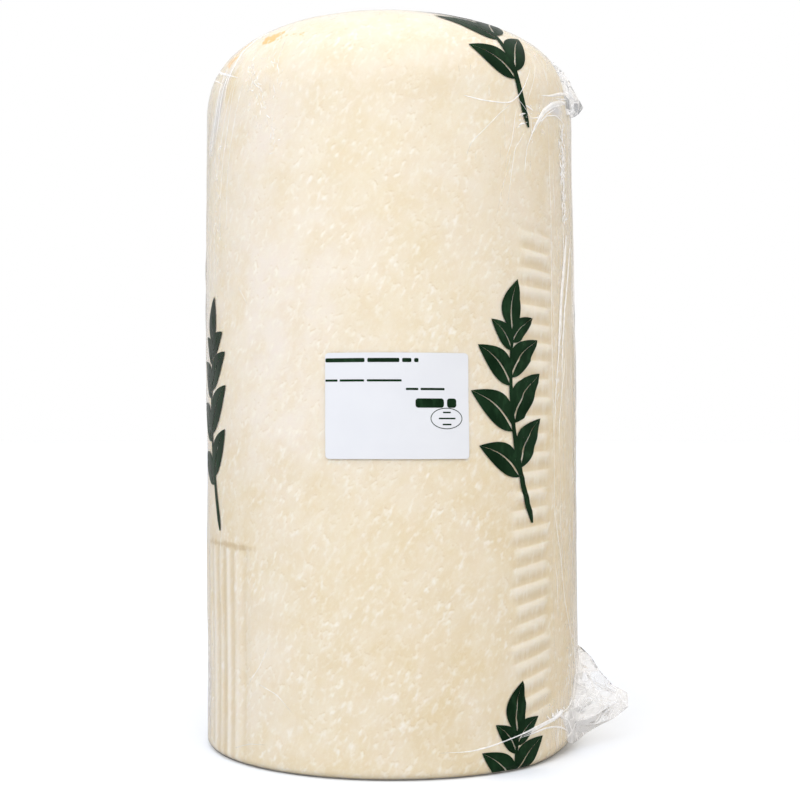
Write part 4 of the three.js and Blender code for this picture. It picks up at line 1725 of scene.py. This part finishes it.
ink_finish(print_sprigs, 0.3, 0.45)
ink_finish(label_print, 0.5, 0.6)
paper_finish(paper_label)

# %% [markdown]
# ## Studio
#
# The cheese stands on a plain pale floor in a bright, soft room. The world is a smooth gradient,
# brightest from above and the front, a little cool on the left and warm on the right, so that the
# right side falls off gently to tan. One large soft lamp does the modelling, a weak one shines down
# from above, and a small one high in front lifts the upper half.

# %% Floor, world and lamps
FLOOR_SIZE = 30
FLOOR_TONES = (0.865, 0.90, 0.955, 1), (0.885, 0.915, 0.965, 1)
FLOOR_BOUNCE = (0.56, 0.56, 0.57, 1)  # what the floor gives back to the cheese
BRIGHT_WAY = (-0.12, -0.64, 0.76)  # towards the brightest part of the room
TINT_WAY = (-0.80, -0.52, 0.30)  # towards its coolest part
ROOM_LOW, ROOM_HIGH = 0.81, 1.28
WARM_TINT, COOL_TINT = (1.0, 0.93, 0.82, 1), (0.97, 0.985, 1.04, 1)
COOL_LAMP = (0.95, 0.98, 1.0)
MIRRORED_LOW, MIRRORED_HIGH = 0.75, 1.05  # how bright the room is in a gloss
ROOM_WHITE = (1, 1, 1, 1)


def floor_finish(piece):
    tree = material_on(piece, "floor_white")
    place = object_place(tree)
    tone = mix_colours(tree, mottle(tree, place, 6, 0.5, 0.3), *FLOOR_TONES)
    inputs = {"Base Color": tone, "Roughness": 0.8, "Specular IOR Level": 0.1}
    seen = principled(tree, inputs)
    bounced = add_node(tree, "ShaderNodeBsdfDiffuse", {"Color": FLOOR_BOUNCE}).outputs[0]
    path = add_node(tree, "ShaderNodeLightPath").outputs["Is Camera Ray"]
    finish_with(tree, mix_shaders(tree, path, bounced, seen))


def soft_world():
    world = bpy.data.worlds.new("bright_room")
    bpy.context.scene.world = world
    world.use_nodes = True
    tree = world.node_tree
    tree.nodes.clear()
    way = add_node(tree, "ShaderNodeTexCoord").outputs["Generated"]

    def toward(aim):
        product = add_node(tree, "ShaderNodeVectorMath", {0: way, 1: aim}, operation="DOT_PRODUCT")
        return ramp(tree, product.outputs["Value"], -1.0, 1.0)

    bright = toward(BRIGHT_WAY)
    tint = mix_colours(tree, toward(TINT_WAY), WARM_TINT, COOL_TINT)
    strength = plus(tree, times(tree, bright, ROOM_HIGH - ROOM_LOW), ROOM_LOW)
    mirrored = plus(tree, times(tree, bright, MIRRORED_HIGH - MIRRORED_LOW), MIRRORED_LOW)

    def background(colour, brightness):
        inputs = {"Color": colour, "Strength": brightness}
        return add_node(tree, "ShaderNodeBackground", inputs).outputs[0]

    path = add_node(tree, "ShaderNodeLightPath").outputs
    room = background(tint, strength)
    room = mix_shaders(tree, path["Is Glossy Ray"], room, background(ROOM_WHITE, mirrored))
    room = mix_shaders(tree, path["Is Camera Ray"], room, background(ROOM_WHITE, 1.0))
    output = add_node(tree, "ShaderNodeOutputWorld")
    tree.links.new(room, output.inputs["Surface"])


def soft_lamp(name, place, target, size, power, tint=(1, 1, 1)):
    """A soft lamp that lights the cheese and leaves no mirror image in its gloss."""
    select_only(None)
    bpy.ops.object.light_add(type="AREA", location=place)
    lamp = named(name)
    lamp.data.shape = "RECTANGLE"
    lamp.data.size, lamp.data.size_y = size
    lamp.data.energy = power
    lamp.data.color = tint
    lamp.visible_glossy = False
    lamp.rotation_euler = (Vector(target) - Vector(place)).to_track_quat("-Z", "Y").to_euler()


select_only(None)
bpy.ops.mesh.primitive_plane_add(size=FLOOR_SIZE, location=(0, 0, 0))
floor = named("floor")
floor_finish(floor)
soft_world()
cheese_middle, upper_face = (0, 0, HEIGHT / 2), (0, -RADIUS, 0.25)
soft_lamp("key", (-0.75, -1.7, 1.2), cheese_middle, (2.2, 2.2), 8.7, COOL_LAMP)
soft_lamp("above", (-0.2, -0.35, 1.45), cheese_middle, (1.0, 1.0), 0.25)
soft_lamp("upper_front", (-0.05, -0.55, 0.62), upper_face, (0.5, 0.4), 1.0, COOL_LAMP)
bpy.context.scene.view_settings.view_transform = "Standard"

# %% [markdown]
# ## Camera
#
# A long lens at a low height keeps the sides of the cheese upright, and looks up a little, so the
# base is seen only just from above and the dome a little from below.

# %% Camera
CAMERA_PLACE = (2.85 * MM, -600 * MM, 127 * MM)
CAMERA_PITCH = 1.2
CAMERA_LENS = 65.0
CAMERA_SENSOR = 36.0

bpy.ops.object.camera_add(location=CAMERA_PLACE, rotation=(math.radians(90 + CAMERA_PITCH), 0, 0))
camera = bpy.context.object
camera.data.lens = CAMERA_LENS
camera.data.sensor_width = CAMERA_SENSOR
camera.data.sensor_fit = "HORIZONTAL"
camera.data.clip_start = 0.01
bpy.context.scene.camera = camera
print("camera", [round(value / MM, 1) for value in camera.location], "mm, lens", CAMERA_LENS)
